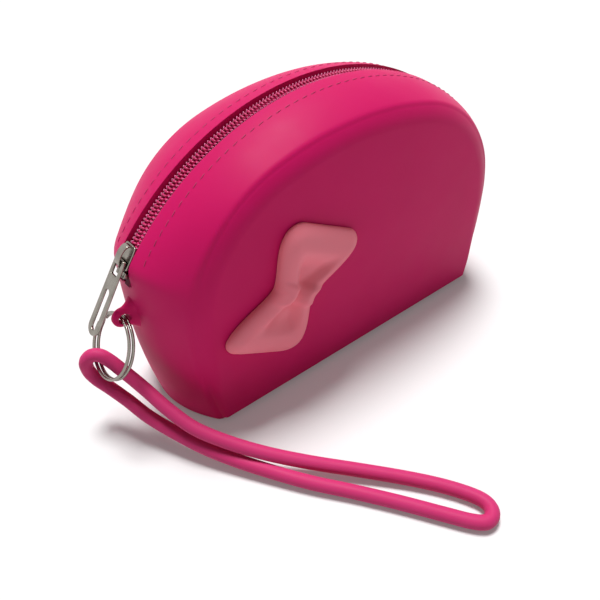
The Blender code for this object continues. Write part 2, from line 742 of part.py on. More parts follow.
def bow_half_width(along):
    """Half the bow's width at a distance from its waist."""
    share = min(1.0, abs(along) / (BOW_HALF_LENGTH - BOW_CORNER_RADIUS))
    grown = BOW_WAIST_HALF_WIDTH + (BOW_LOBE_HALF_WIDTH - BOW_WAIST_HALF_WIDTH) * smooth_step(share) ** 0.8
    into_corner = abs(along) - (BOW_HALF_LENGTH - BOW_CORNER_RADIUS)
    if into_corner <= 0:
        return grown
    left = math.sqrt(max(0.0, BOW_CORNER_RADIUS**2 - into_corner**2))
    return grown - BOW_CORNER_RADIUS + left


def bow_height(along, across, half_width):
    """The bow's height above its back: a round rim, a dished middle and a low knot over the waist."""
    from_side = half_width - abs(across)
    from_end = BOW_HALF_LENGTH - abs(along)
    inside = max(0.0, min(from_side, from_end))
    rim = min(1.0, inside / BOW_RIM_WIDTH)
    rounded = math.sqrt(max(0.0, 1 - (1 - rim) ** 2))
    dish = BOW_DISH * smooth_step((inside - BOW_RIM_WIDTH) / BOW_RIM_WIDTH)
    knot = KNOT_RISE * smooth_step(2 * (1 - abs(along) / KNOT_HALF_LENGTH)) * rounded
    return BOW_SKIRT + (BOW_RIM_HEIGHT - BOW_SKIRT) * rounded - dish + knot


def build_bow(material, collection):
    """The bow: a grid over its outline, raised in front, with its back just clear of the front face."""
    turn = Matrix.Rotation(BOW_TILT, 2)
    face_y = CREASE_HALF_DEPTH + RIM_RISE * RIM_SHARES[-1][1]
    bm = bmesh.new()
    tops = []
    backs = []
    for step in range(BOW_LENGTH_STEPS + 1):
        along = -BOW_HALF_LENGTH * math.cos(math.pi * step / BOW_LENGTH_STEPS)
        half_width = bow_half_width(along)
        top_row = []
        back_row = []
        for share in BOW_WIDTH_SHARES:
            across = half_width * share
            place = turn @ Vector((along + BOW_LEAN_SHARE * across, across))
            x = BOW_X + place.x
            z = BOW_Z + place.y
            back_y = -(face_y + face_depth(x, z)) * flare(z) - BOW_GAP
            top_row.append(bm.verts.new((x, back_y - bow_height(along, across, half_width), z)))
            back_row.append(bm.verts.new((x, back_y, z)))
        tops.append(top_row)
        backs.append(back_row)
    for rows in (tops, backs):
        for before, after in zip(rows, rows[1:]):
            for index in range(len(before) - 1):
                bm.faces.new((before[index], before[index + 1], after[index + 1], after[index]))
    for top, back in ((tops[0], backs[0]), (tops[-1], backs[-1])):
        for index in range(len(top) - 1):
            bm.faces.new((top[index], top[index + 1], back[index + 1], back[index]))
    for edge in (0, -1):
        for step in range(len(tops) - 1):
            bm.faces.new((tops[step][edge], tops[step + 1][edge], backs[step + 1][edge], backs[step][edge]))
    return mesh_object("bow_ornament", bm, material, collection)


def main():
    clear_scene()
    parts = make_collection("silicone_purse")
    cutters = make_collection(parts.name + "_cutters")
    pink = make_material("pink_silicone", (0.62, 0.02, 0.17), 0.55, 0.0)
    salmon = make_material("salmon_silicone", (0.85, 0.25, 0.25), 0.5, 0.0)
    tape_cloth = make_material("zip_tape_polyester", (0.42, 0.01, 0.10), 0.9, 0.0)
    coil_nylon = make_material("zip_coil_nylon", (0.38, 0.01, 0.09), 0.4, 0.0)
    thread = make_material("sewing_thread", (0.60, 0.02, 0.16), 0.7, 0.0)
    nickel = make_material("nickel_plate", (0.72, 0.70, 0.67), 0.22, 1.0)

    build_shell(pink, parts, cutters)
    build_bow(salmon, parts)
    for name, side in (("front", -1), ("back", 1)):
        build_tape("zip_tape_" + name, side, tape_cloth, parts)
        build_coil("zip_coil_" + name, side, coil_nylon, parts)
        build_thread("seam_thread_" + name, side, thread, parts)
        inner, outer = sorted((side * COIL_INNER_Y, side * COIL_OUTER_Y))
        build_stop("top_stop_" + name, inner, outer, -STOP_START - STOP_SWEEP, nickel, parts)
    build_stop("bottom_stop", -COIL_OUTER_Y, COIL_OUTER_Y, STOP_START, nickel, parts)
    build_slider(nickel, parts)
    build_pull(nickel, parts)
    build_ring(nickel, parts)
    build_strap(pink, parts)


main()
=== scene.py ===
import math

import bmesh
import bpy
from mathutils import Matrix, Vector


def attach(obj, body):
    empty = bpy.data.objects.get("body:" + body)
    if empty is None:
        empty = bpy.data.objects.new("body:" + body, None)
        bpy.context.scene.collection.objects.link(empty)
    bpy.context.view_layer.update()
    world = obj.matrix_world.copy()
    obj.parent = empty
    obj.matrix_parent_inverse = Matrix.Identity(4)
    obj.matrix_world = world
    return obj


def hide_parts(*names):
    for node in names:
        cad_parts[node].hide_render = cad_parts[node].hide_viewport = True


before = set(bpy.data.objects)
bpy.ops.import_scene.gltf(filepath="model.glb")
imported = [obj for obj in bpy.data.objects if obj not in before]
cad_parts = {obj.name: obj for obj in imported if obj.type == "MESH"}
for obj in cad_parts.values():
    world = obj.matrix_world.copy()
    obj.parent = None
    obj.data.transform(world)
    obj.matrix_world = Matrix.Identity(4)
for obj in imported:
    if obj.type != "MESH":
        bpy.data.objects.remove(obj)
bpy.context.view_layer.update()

# Camera
CAMERA_TURN = math.radians(-36.70)
CAMERA_RISE = math.radians(39.93)
CAMERA_ROLL = math.radians(-2.83)
CAMERA_PLACE = (-0.1226, -0.1522, 0.1704)
CAMERA_LENS = 39.03
CAMERA_SENSOR = 36.0
CAMERA_NEAR = 0.01
CAMERA_FAR = 20.0

# Wrist strap
STRAP_RADIUS = 0.0022
STRAP_SAMPLES = 6
STRAP_ROUNDNESS = 6
STRAP_ROUTE = (
    (-0.0820, -0.0025, 0.0245), (-0.0836, 0.0005, 0.0270), (-0.0856, 0.0033, 0.0290),
    (-0.0880, 0.0050, 0.0290), (-0.0898, 0.0060, 0.0265), (-0.0897, 0.0062, 0.0223),
    (-0.0884, 0.0045, 0.0190), (-0.0863, 0.0010, 0.0165), (-0.0835, -0.0050, 0.0133),
    (-0.0810, -0.0125, 0.0106), (-0.0770, -0.0215, 0.0080), (-0.0723, -0.0310, 0.0058),
    (-0.0667, -0.0405, 0.0042), (-0.0605, -0.0503, 0.0033), (-0.0536, -0.0607, 0.0028),
    (-0.0455, -0.0715, 0.0025), (-0.0375, -0.0830, 0.0024), (-0.0306, -0.0937, 0.0024),
    (-0.0266, -0.0997, 0.0024), (-0.0236, -0.1024, 0.0024), (-0.0205, -0.1019, 0.0024),
    (-0.0189, -0.0990, 0.0024), (-0.0198, -0.0946, 0.0024), (-0.0240, -0.0868, 0.0024),
    (-0.0306, -0.0777, 0.0026), (-0.0400, -0.0668, 0.0034), (-0.0502, -0.0560, 0.0049),
    (-0.0592, -0.0463, 0.0071), (-0.0667, -0.0370, 0.0096), (-0.0727, -0.0280, 0.0125),
    (-0.0763, -0.0194, 0.0162), (-0.0788, -0.0116, 0.0201), (-0.0805, -0.0064, 0.0225),
)

# Shell
CREASE_HALF_DEPTH = 0.0215
CREASE_TOP_Z = 0.0890
CREASE_TOP_RADIUS = 0.112
CREASE_SHOULDER_RADIUS = 0.048
CREASE_SIDE_X = 0.0652
CREASE_BASE_X = 0.0610
CROWN_TOP_Z = 0.0954
CROWN_TOP_RADIUS = 0.0922
CROWN_SHOULDER_RADIUS = 0.0065
CROWN_SIDE_X = 0.0728
CROWN_BASE_X = 0.0690
BASE_FLARE_SHARE = 0.030
FLARE_Z = 0.050
BELLY_Z = 0.038
BASE_CORNER_RADIUS = 0.0030
SHELL_WALL = 0.0026
RIM_WIDTH = 0.0060
RIM_FOOT_WIDTH = 0.0026
RIM_FOOT_Z = 0.006
RIM_EASE = 0.022
RIM_RISE = 0.0016
FACE_DOME = 0.0010
LIP_ROUND = 0.00055
LIP_SEGMENTS = 4
LIP_ANGLE = math.radians(62.0)
GROOVE_DEPTH = 0.00105
GROOVE_HALF_WIDTH = 0.00056
FINE_STEPS = 200
SLOT_STEPS = 72
SIDE_STEPS = 44
CORNER_STEPS = 8
BASE_STEPS = 22
RIM_STEPS = 12
GUSSET_SHARES = (
    0.992, 0.982, 0.970, 0.950, 0.92, 0.86, 0.79, 0.71,
    0.63, 0.55, 0.47, 0.40, 0.33, 0.27, 0.22, 0.18,
)
MIDDLE_SHARES = (0.10, 0.05)
FACE_SHARES = (0.985, 0.95, 0.88, 0.78, 0.66, 0.52, 0.36, 0.18)

# Eyelet
EYELET_X = -0.0765
EYELET_Z = 0.0420
EYELET_RADIUS = 0.0034
EYELET_HALF_THICKNESS = 0.0016
EYELET_TIP_POWER = 0.5
EYELET_HOLE_RADIUS = 0.0018
HOLE_MOUTH = 0.0007
HOLE_STEPS = 12
EYELET_ROOT_X = -0.0720
EYELET_ROOT_HALF_HEIGHT = 0.0068
EYELET_ROOT_HALF_THICKNESS = 0.0042
LUG_SQUARE_POWER = 0.85
LUG_LENGTH_STEPS = 30
LUG_ROUND_STEPS = 48
EYELET_SHARP_ANGLE = math.radians(60.0)

# Zip
ZIP_AXIS_Z = 0.0032
COIL_RADIUS = 0.0903
COIL_HALF_HEIGHT = 0.00085
COIL_END = math.radians(52.7)
COIL_WIRE = 0.00037
COIL_HEAD_Y = 0.00039
COIL_BACK_Y = 0.00205
COIL_RISE = 0.00047
COIL_PITCH = 0.00125
COIL_POINTS = 14
COIL_SLANT_SHARE = 0.7
COIL_SQUARE_POWER = 0.7
COIL_STAGGER_SHARE = 0.25
COIL_ROUNDNESS = 1
CHAIN_THREAD_Y = 0.00178
CHAIN_THREAD_WIRE = 0.00015
CHAIN_THREAD_TOP = 0.00097
CHAIN_THREAD_LOW = 0.00030
CHAIN_THREAD_SHARES = (0.02, 0.22, 0.42, 0.80)
CHAIN_THREAD_HEIGHTS = (CHAIN_THREAD_TOP, CHAIN_THREAD_TOP, CHAIN_THREAD_LOW, CHAIN_THREAD_LOW)
CHAIN_THREAD_DRIFTS = (-1, 1, 1, -1)
TAPE_GAP = 0.00025
TAPE_THICKNESS = 0.0005
TAPE_EASE_SHARE = 0.25
TAPE_INNER_Y = 0.00068
TAPE_OUTER_Y = 0.00342
TAPE_END = math.radians(55.35)
TAPE_SHARP_ANGLE = math.radians(50.0)
SLOT_HALF_WIDTH = 0.00345
SLOT_END = math.radians(55.4)
ARC_STEPS = 160

# Slider and pull
SLIDER_REST = math.radians(50.20)
SLIDER_LENGTH = 0.0076
SLIDER_HALF_WIDTH = 0.00315
SLIDER_TAIL_HALF_WIDTH = 0.0027
SLIDER_PLATE = 0.0007
SLIDER_CLEARANCE = 0.0003
SLIDER_LOWER_EXTRA = 0.00035
SLIDER_FLANGE = 0.0005
SLIDER_POST_HALF_WIDTH = 0.00035
SLIDER_POST_LENGTH = 0.0018
SLIDER_CORNER = 0.0009
SLIDER_EDGE = 0.00022
SLIDER_FINE_EDGE = 0.00010
SLIDER_FLANGE_HALF_SHARE = 0.25
COIL_OUTER_Y = 0.0024
BAIL_LENGTH = 0.0070
BAIL_HEIGHT = 0.0024
BAIL_THICKNESS = 0.0006
BAIL_HALF_WIDTH = 0.00125
BAIL_EDGE = 0.00018
BAIL_SQUARE_POWER = 0.6
BAIL_STEPS = 40
PULL_PIVOT_AHEAD = 0.0016
PULL_PIVOT_HEIGHT = 0.0009
PULL_LEAN = math.radians(35.0)
PULL_LENGTH = 0.0251
PULL_HALF_WIDTH = 0.0030
PULL_HEAD_HALF_WIDTH = 0.0027
PULL_THICKNESS = 0.0009
PULL_BAR = 0.0008
PULL_WINDOW_HALF_WIDTH = 0.0016
PULL_WINDOW_LENGTH = 0.0046
PULL_WINDOW_CORNER = 0.0004
PULL_SLOT_HALF_WIDTH = 0.0013
PULL_SLOT_LENGTH = 0.0110
PULL_SLOT_MARGIN = 0.0018
PULL_CORNER = 0.0009
PULL_EDGE = 0.00024
ARCH_STEPS = 32
PLATE_ROUNDNESS = 4
PLATE_SHARP_ANGLE = math.radians(50.0)

# Stitches
STITCH_Y = 0.0080
STITCH_END = math.radians(50.4)
STITCH_PITCH = 0.0033
STITCH_LENGTH = 0.0023
STITCH_SLANT = 0.00032
STITCH_WIRE = 0.00017
STITCH_PROUD = 0.00003
STITCH_DIVE = 0.00030
STITCH_NUDGE = math.radians(0.5)
STITCH_SHARES = (-1.0, -0.92, -0.7, -0.3, 0.3, 0.7, 0.92, 1.0)
STITCH_SINKS = (
    STITCH_DIVE, STITCH_WIRE, 0.0, -STITCH_PROUD,
    -STITCH_PROUD, 0.0, STITCH_WIRE, STITCH_DIVE,
)
THREAD_ROUNDNESS = 1

# Split ring
RING_MEAN_RADIUS = 0.01035
RING_WIRE_RADIUS = 0.00052
RING_TURN_GAP = 0.00042
RING_LEAN = math.radians(30.5)
RING_SPLIT = math.radians(75.0)
RING_STEP_SWEEP = math.radians(34.0)
RING_OVERLAP = math.radians(14.0)
RING_STEPS_PER_TURN = 96
RING_ROUNDNESS = 5

# Bow
BOW_X = -0.0305
BOW_Z = 0.0431
BOW_TILT = math.radians(50.0)
BOW_LEAN_SHARE = -0.20
BOW_HALF_LENGTH = 0.0229
BOW_LOBE_HALF_WIDTH = 0.0146
BOW_WAIST_HALF_WIDTH = 0.0080
BOW_RIM_HEIGHT = 0.0041
BOW_DISH = 0.0028
BOW_RIM_WIDTH = 0.0046
BOW_END_RIM_WIDTH = 0.0074
BOW_CORNER_RADIUS = 0.0050
BOW_GAP = 0.0003
BOW_SKIRT = 0.0006
KNOT_HALF_LENGTH = 0.0045
KNOT_RISE = 0.0012
BOW_LENGTH_STEPS = 110
BOW_WIDTH_STEPS = 64
FOLD_RISE = 0.0006
FOLD_WIDTH = 0.0027
FOLD_SLOPE = 0.28
BOW_SPREAD_POWER = 0.8
BOW_SHARP_ANGLE = math.radians(60.0)

# Room
FLOOR_HALF = 3.0
FLOOR_DROP = 0.00005
FLOOR_LIFT = 0.11
SUN_TO = (0.09, 0.22, 1.0)
SUN_STRENGTH = 3.55
SUN_SPREAD = math.radians(20.0)
SKY_STRENGTH = 0.17
SEEN_STRENGTH = 1.0
WHITE = (1.0, 1.0, 1.0, 1.0)
FLOOR_CORNERS = ((-1, -1), (1, -1), (1, 1), (-1, 1))
FLOOR_DARK = (0.73, 0.73, 0.73, 1.0)
FLOOR_PALE = (0.75, 0.75, 0.75, 1.0)
FLOOR_GRAIN = (30.0, 2.0)
FLOOR_ROUGHNESS = 0.9
FLOOR_SPECULAR = 0.0

# Colours, as a screen shows them, from 0 to 255
PINK = (212, 22, 102)
PINK_DEEP = (203, 18, 95)
STRAP_PINK = (208, 60, 118)
STRAP_PINK_DEEP = (201, 52, 111)
SALMON = (253, 142, 157)
SALMON_DEEP = (248, 132, 148)
CLOTH = (168, 18, 84)
CLOTH_DEEP = (108, 8, 50)
NYLON = (216, 44, 112)
NYLON_DEEP = (184, 26, 90)
CHAIN = (240, 150, 190)
CHAIN_DEEP = (214, 96, 150)
SEAM = (194, 34, 100)
SEAM_DEEP = (162, 22, 80)
NICKEL = (168, 162, 154)
NICKEL_WORN = (120, 114, 106)
SCREEN_WHITE = 255
SCREEN_LINEAR_LIMIT = 0.04045
SCREEN_LINEAR_SLOPE = 12.92
SCREEN_OFFSET = 0.055
SCREEN_POWER = 2.4

# Finishes: a noise is its scale and detail, a bump its strength and distance
NOISE_ROUGHNESS = 0.5
MIX_FACTOR_SOCKET = 0
MIX_FIRST_SOCKET = 6
MIX_SECOND_SOCKET = 7
MIX_RESULT_SOCKET = 2
SILICONE_ROUGHNESS = 0.50
SALMON_ROUGHNESS = 0.42
SILICONE_ROUGHNESS_SPREAD = 0.07
SILICONE_SPECULAR = 0.11
SILICONE_SHEEN = 0.02
SILICONE_SHEEN_ROUGHNESS = 0.45
SILICONE_SUBSURFACE = 0.10
SILICONE_SUBSURFACE_RADII = (1.0, 0.25, 0.25)
SILICONE_SUBSURFACE_DEPTH = 0.0015
SILICONE_CLOUDS = (38.0, 2.0)
SILICONE_SMUDGES = (120.0, 4.0)
SILICONE_WAVES = (85.0, 1.0)
SILICONE_WAVE_BUMP = (0.10, 0.0012)
SILICONE_GRAIN = (2600.0, 3.0, 0.6)
SILICONE_GRAIN_BUMP = (0.22, 0.00008)
NICKEL_ROUGHNESS = 0.22
METAL_SMOOTHER = 0.08
METAL_ROUGHER = 0.10
METAL_PATCHES = (420.0, 4.0)
METAL_MARKS = (3000.0, 2.0)
METAL_MARK_BUMP = (0.08, 0.00005)
WEAVE_RIB_SCALE = 700.0
WEAVE_RIB_DISTORTION = 0.4
WEAVE_WEFT = (2400.0, 2.0)
WEAVE_ROUGHNESS = 0.85
WEAVE_SPECULAR = 0.2
WEAVE_SHEEN = 0.15
WEAVE_BUMP = (0.6, 0.0001)
NYLON_TONE = (700.0, 2.0)
NYLON_ROUGHNESS_LOW = 0.28
NYLON_ROUGHNESS_HIGH = 0.42
NYLON_SPECULAR = 0.45
PLY_SCALE = 1500.0
PLY_DISTORTION = 1.0
THREAD_ROUGHNESS = 0.6
PLY_BUMP = (0.4, 0.00005)


def srgb(red, green, blue):
    """A screen colour of 0 to 255 as the linear value that a shader takes."""
    made = []
    for value in (red, green, blue):
        share = value / SCREEN_WHITE
        if share <= SCREEN_LINEAR_LIMIT:
            made.append(share / SCREEN_LINEAR_SLOPE)
        else:
            made.append(((share + SCREEN_OFFSET) / (1 + SCREEN_OFFSET)) ** SCREEN_POWER)
    return (*made, 1.0)


def smooth_step(share):
    held = min(1.0, max(0.0, share))
    return held * held * (3 - 2 * held)


def signed_power(value, power):
    """A power that keeps the value's sign, for sections between round and square."""
    return math.copysign(abs(value) ** power, value)


# Materials
def blank_material(name):
    made = bpy.data.materials.new(name)
    made.use_nodes = True
    return made, made.node_tree.nodes, made.node_tree.links, made.node_tree.nodes["Principled BSDF"]


def object_noise(nodes, links, scale, detail, roughness=NOISE_ROUGHNESS):
    place = nodes.new("ShaderNodeTexCoord")
    noise = nodes.new("ShaderNodeTexNoise")
    noise.inputs["Scale"].default_value = scale
    noise.inputs["Detail"].default_value = detail
    noise.inputs["Roughness"].default_value = roughness
    links.new(place.outputs["Object"], noise.inputs["Vector"])
    return noise


def ranged(nodes, links, source, low, high):
    """The source's 0 to 1 spread over low to high."""
    made = nodes.new("ShaderNodeMapRange")
    made.inputs["To Min"].default_value = low
    made.inputs["To Max"].default_value = high
    links.new(source, made.inputs["Value"])
    return made.outputs["Result"]


def combined(nodes, links, operation, first, second):
    """Two sockets, or a socket and a number, put together by one operation."""
    made = nodes.new("ShaderNodeMath")
    made.operation = operation
    links.new(first, made.inputs[0])
    if isinstance(second, bpy.types.NodeSocket):
        links.new(second, made.inputs[1])
    else:
        made.inputs[1].default_value = second
    return made.outputs["Value"]


def mixed(nodes, links, share, first, second):
    """A colour between two, by a socket's share."""
    made = nodes.new("ShaderNodeMix")
    made.data_type = "RGBA"
    links.new(share, made.inputs[MIX_FACTOR_SOCKET])
    made.inputs[MIX_FIRST_SOCKET].default_value = first
    made.inputs[MIX_SECOND_SOCKET].default_value = second
    return made.outputs[MIX_RESULT_SOCKET]


def bumped(nodes, links, shader, height, strength, distance, before=None):
    made = nodes.new("ShaderNodeBump")
    made.inputs["Strength"].default_value = strength
    made.inputs["Distance"].default_value = distance
    links.new(height, made.inputs["Height"])
    if before is not None:
        links.new(before, made.inputs["Normal"])
    links.new(made.outputs["Normal"], shader.inputs["Normal"])
    return made.outputs["Normal"]


def silicone(name, colour, deep, roughness):
    """Matt moulded silicone: a fine powdery grain, faint clouding and a soft sheen at a glance."""
    made, nodes, links, shader = blank_material(name)
    clouds = object_noise(nodes, links, *SILICONE_CLOUDS)
    links.new(mixed(nodes, links, clouds.outputs["Fac"], colour, deep), shader.inputs["Base Color"])
    smudges = object_noise(nodes, links, *SILICONE_SMUDGES)
    smooth = roughness - SILICONE_ROUGHNESS_SPREAD
    rough = roughness + SILICONE_ROUGHNESS_SPREAD
    links.new(ranged(nodes, links, smudges.outputs["Fac"], smooth, rough), shader.inputs["Roughness"])
    shader.inputs["Specular IOR Level"].default_value = SILICONE_SPECULAR
    shader.inputs["Sheen Weight"].default_value = SILICONE_SHEEN
    shader.inputs["Sheen Roughness"].default_value = SILICONE_SHEEN_ROUGHNESS
    shader.inputs["Subsurface Weight"].default_value = SILICONE_SUBSURFACE
    shader.inputs["Subsurface Radius"].default_value = SILICONE_SUBSURFACE_RADII
    shader.inputs["Subsurface Scale"].default_value = SILICONE_SUBSURFACE_DEPTH
    waves = object_noise(nodes, links, *SILICONE_WAVES)
    first = bumped(nodes, links, shader, waves.outputs["Fac"], *SILICONE_WAVE_BUMP)
    grain = object_noise(nodes, links, *SILICONE_GRAIN)
    bumped(nodes, links, shader, grain.outputs["Fac"], *SILICONE_GRAIN_BUMP, first)
    return made


def metal(name, colour, worn, roughness):
    """Plated metal: soft polishing marks and slightly duller, darker patches."""
    made, nodes, links, shader = blank_material(name)
    shader.inputs["Metallic"].default_value = 1.0
    patches = object_noise(nodes, links, *METAL_PATCHES)
    links.new(mixed(nodes, links, patches.outputs["Fac"], colour, worn), shader.inputs["Base Color"])
    smooth = roughness - METAL_SMOOTHER
    rough = roughness + METAL_ROUGHER
    links.new(ranged(nodes, links, patches.outputs["Fac"], smooth, rough), shader.inputs["Roughness"])
    marks = object_noise(nodes, links, *METAL_MARKS)
    bumped(nodes, links, shader, marks.outputs["Fac"], *METAL_MARK_BUMP)
    return made


def woven(name, colour, deep):
    """Narrow woven tape: ribs along the zip and the weft across them."""
    made, nodes, links, shader = blank_material(name)
    place = nodes.new("ShaderNodeTexCoord")
    ribs = nodes.new("ShaderNodeTexWave")
    ribs.bands_direction = "Y"
    ribs.inputs["Scale"].default_value = WEAVE_RIB_SCALE
    ribs.inputs["Distortion"].default_value = WEAVE_RIB_DISTORTION
    links.new(place.outputs["Object"], ribs.inputs["Vector"])
    weft = object_noise(nodes, links, *WEAVE_WEFT)
    height = combined(nodes, links, "MULTIPLY", ribs.outputs["Fac"], weft.outputs["Fac"])
    links.new(mixed(nodes, links, height, deep, colour), shader.inputs["Base Color"])
    shader.inputs["Roughness"].default_value = WEAVE_ROUGHNESS
    shader.inputs["Specular IOR Level"].default_value = WEAVE_SPECULAR
    shader.inputs["Sheen Weight"].default_value = WEAVE_SHEEN
    bumped(nodes, links, shader, height, *WEAVE_BUMP)
    return made


def nylon(name, colour, deep):
    """Drawn nylon wire: a soft gloss with faint changes of depth."""
    made, nodes, links, shader = blank_material(name)
    tone = object_noise(nodes, links, *NYLON_TONE)
    links.new(mixed(nodes, links, tone.outputs["Fac"], colour, deep), shader.inputs["Base Color"])
    gloss = ranged(nodes, links, tone.outputs["Fac"], NYLON_ROUGHNESS_LOW, NYLON_ROUGHNESS_HIGH)
    links.new(gloss, shader.inputs["Roughness"])
    shader.inputs["Specular IOR Level"].default_value = NYLON_SPECULAR
    return made


def spun_thread(name, colour, deep):
    """Sewing thread: tight plies that show as a fine slanting grain."""
    made, nodes, links, shader = blank_material(name)
    place = nodes.new("ShaderNodeTexCoord")
    plies = nodes.new("ShaderNodeTexWave")
    plies.bands_direction = "DIAGONAL"
    plies.inputs["Scale"].default_value = PLY_SCALE
    plies.inputs["Distortion"].default_value = PLY_DISTORTION
    links.new(place.outputs["Object"], plies.inputs["Vector"])
    links.new(mixed(nodes, links, plies.outputs["Fac"], deep, colour), shader.inputs["Base Color"])
    shader.inputs["Roughness"].default_value = THREAD_ROUGHNESS
    bumped(nodes, links, shader, plies.outputs["Fac"], *PLY_BUMP)
    return made


# Mesh helpers
def add_object(name, data, material):
    data.materials.clear()
    data.materials.append(material)
    made = bpy.data.objects.new(name, data)
    bpy.context.scene.collection.objects.link(made)
    return made


def mesh_piece(name, verts, faces, material):
    mesh = bpy.data.meshes.new(name)
    mesh.from_pydata([tuple(v) for v in verts], [], faces)
    work = bmesh.new()
    work.from_mesh(mesh)
    bmesh.ops.recalc_face_normals(work, faces=work.faces)
    work.to_mesh(mesh)
    work.free()
    mesh.shade_smooth()
    return add_object(name, mesh, material)


def wire_piece(name, runs, radius, resolution, material):
    """One or more open runs of round wire, as one curve."""
    curve = bpy.data.curves.new(name, "CURVE")
    curve.dimensions = "3D"
    curve.bevel_depth = radius
    curve.bevel_resolution = resolution
    curve.use_fill_caps = True
    curve.twist_mode = "MINIMUM"
    for run in runs:
        spline = curve.splines.new("POLY")
        spline.points.add(len(run) - 1)
        for point, place in zip(spline.points, run):
            point.co = (*place, 1.0)
        spline.use_smooth = True
    return add_object(name, curve, material)


def quad(row, index, count):
    """A face between two rows of points that close on themselves."""
    low = row * count
    high = low + count
    beside = (index + 1) % count
    return low + index, low + beside, high + beside, high + index


def evaluated_mesh(piece):
    """A new mesh of what the piece's curve or modifiers make."""
    bpy.context.view_layer.update()
    evaluated = piece.evaluated_get(bpy.context.evaluated_depsgraph_get())
    mesh = bpy.data.meshes.new_from_object(evaluated)
    mesh.name = piece.name
    return mesh


def apply_modifiers(piece):
    """The piece with its modifiers made real."""
    mesh = evaluated_mesh(piece)
    piece.modifiers.clear()
    piece.data = mesh
    return piece


def dress(piece, body, slot, *nodes):
    """Ties a piece to its body and hides the nodes that it stands for; its finish, the slot, is not used."""
    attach(piece, body)
    if nodes:
        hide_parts(*nodes)
    return piece


# Camera and strap
def build_camera():
    data = bpy.data.cameras.new("camera")
    data.lens = CAMERA_LENS
    data.sensor_width = CAMERA_SENSOR
    data.clip_start = CAMERA_NEAR
    data.clip_end = CAMERA_FAR
    made = bpy.data.objects.new("camera", data)
    bpy.context.scene.collection.objects.link(made)
    side = CAMERA_TURN
    rise = CAMERA_RISE
    back = Vector((math.sin(side) * math.cos(rise), -math.cos(side) * math.cos(rise), math.sin(rise)))
    level = Vector((math.cos(side), math.sin(side), 0.0))
    over = back.cross(level)
    right = level * math.cos(CAMERA_ROLL) + over * math.sin(CAMERA_ROLL)
    up = over * math.cos(CAMERA_ROLL) - level * math.sin(CAMERA_ROLL)
    turn = Matrix((right, up, back)).transposed().to_4x4()
    made.matrix_world = Matrix.Translation(CAMERA_PLACE) @ turn
    bpy.context.scene.camera = made


def loop_points(route, samples):
    """Points of a smooth closed curve through the route's own points, back to its start."""
    knots = [Vector(point) for point in route]
    count = len(knots)
    points = []
    for index in range(count):
        before, start = knots[index - 1], knots[index]
        end, after = knots[(index + 1) % count], knots[(index + 2) % count]
        for step in range(samples):
            t = step / samples
            leave = (end - before) / 2
            arrive = (after - start) / 2
            points.append(
                start * (2 * t**3 - 3 * t**2 + 1)
                + leave * (t**3 - 2 * t**2 + t)
                + end * (3 * t**2 - 2 * t**3)
                + arrive * (t**3 - t**2)
            )
    points.append(points[0].copy())
    return points


def build_strap(material):
    """The wrist cord, whose moulded loop is drawn from a place beside the ring back to it."""
    points = loop_points(STRAP_ROUTE, STRAP_SAMPLES)
    strap = wire_piece("wrist_cord", [points], STRAP_RADIUS, STRAP_ROUNDNESS, material)
    strap.data.use_fill_caps = False
    dress(strap, "strap", "silicone", "wrist_strap")
    return strap


# Shell
def outline_line(top_z, top_radius, shoulder_radius, side_x, base_x):
    """The outline from the middle of the top to the base corner, in (x, z), finely."""
    reach = top_radius - shoulder_radius
    shoulder_x = side_x - shoulder_radius
    turn = math.asin(shoulder_x / reach)
    top_centre_z = top_z - top_radius
    shoulder_z = top_centre_z + reach * math.cos(turn)
    line = []
    for step in range(FINE_STEPS + 1):
        angle = turn * step / FINE_STEPS
        line.append(Vector((top_radius * math.sin(angle), top_centre_z + top_radius * math.cos(angle))))
    for step in range(1, FINE_STEPS + 1):
        angle = turn + (math.pi / 2 - turn) * step / FINE_STEPS
        across = shoulder_radius * math.sin(angle)
        line.append(Vector((shoulder_x + across, shoulder_z + shoulder_radius * math.cos(angle))))
    for step in range(FINE_STEPS + 1):
        z = BELLY_Z + (BASE_CORNER_RADIUS - BELLY_Z) * step / FINE_STEPS
        fall = (BELLY_Z - z) / (BELLY_Z - BASE_CORNER_RADIUS)
        line.append(Vector((side_x - (side_x - base_x) * fall * fall, z)))
    return line


def lengths_along(line):
    along = [0.0]
    for before, after in zip(line, line[1:]):
        along.append(along[-1] + (after - before).length)
    return along


def at_shares(line, shares):
    """Points at the given shares of a line's length."""
    along = lengths_along(line)
    points = []
    place = 0
    for share in shares:
        target = along[-1] * share
        while place < len(along) - 2 and along[place + 1] < target:
            place += 1
        step = along[place + 1] - along[place]
        points.append(line[place].lerp(line[place + 1], (target - along[place]) / step if step else 0.0))
    return points


CREASE_LINE = outline_line(
    CREASE_TOP_Z, CREASE_TOP_RADIUS, CREASE_SHOULDER_RADIUS, CREASE_SIDE_X, CREASE_BASE_X
)
CROWN_LINE = outline_line(
    CROWN_TOP_Z, CROWN_TOP_RADIUS, CROWN_SHOULDER_RADIUS, CROWN_SIDE_X, CROWN_BASE_X
)
CROWN_LENGTH = lengths_along(CROWN_LINE)[-1]


def slot_share():
    """The share of the crown's line at which the slot ends."""
    along = lengths_along(CROWN_LINE)
    turned = [math.atan2(point.x, point.y - ZIP_AXIS_Z) for point in CROWN_LINE]
    for index in range(1, len(along)):
        if turned[index] >= SLOT_END:
            start = CROWN_LINE[index - 1]
            end = CROWN_LINE[index]
            reach_z = ZIP_AXIS_Z + end.x / math.tan(SLOT_END)
            return (along[index - 1] + start.y - reach_z) / along[-1]
    raise RuntimeError("the slot runs past the shell")


SLOT_SHARE = slot_share()


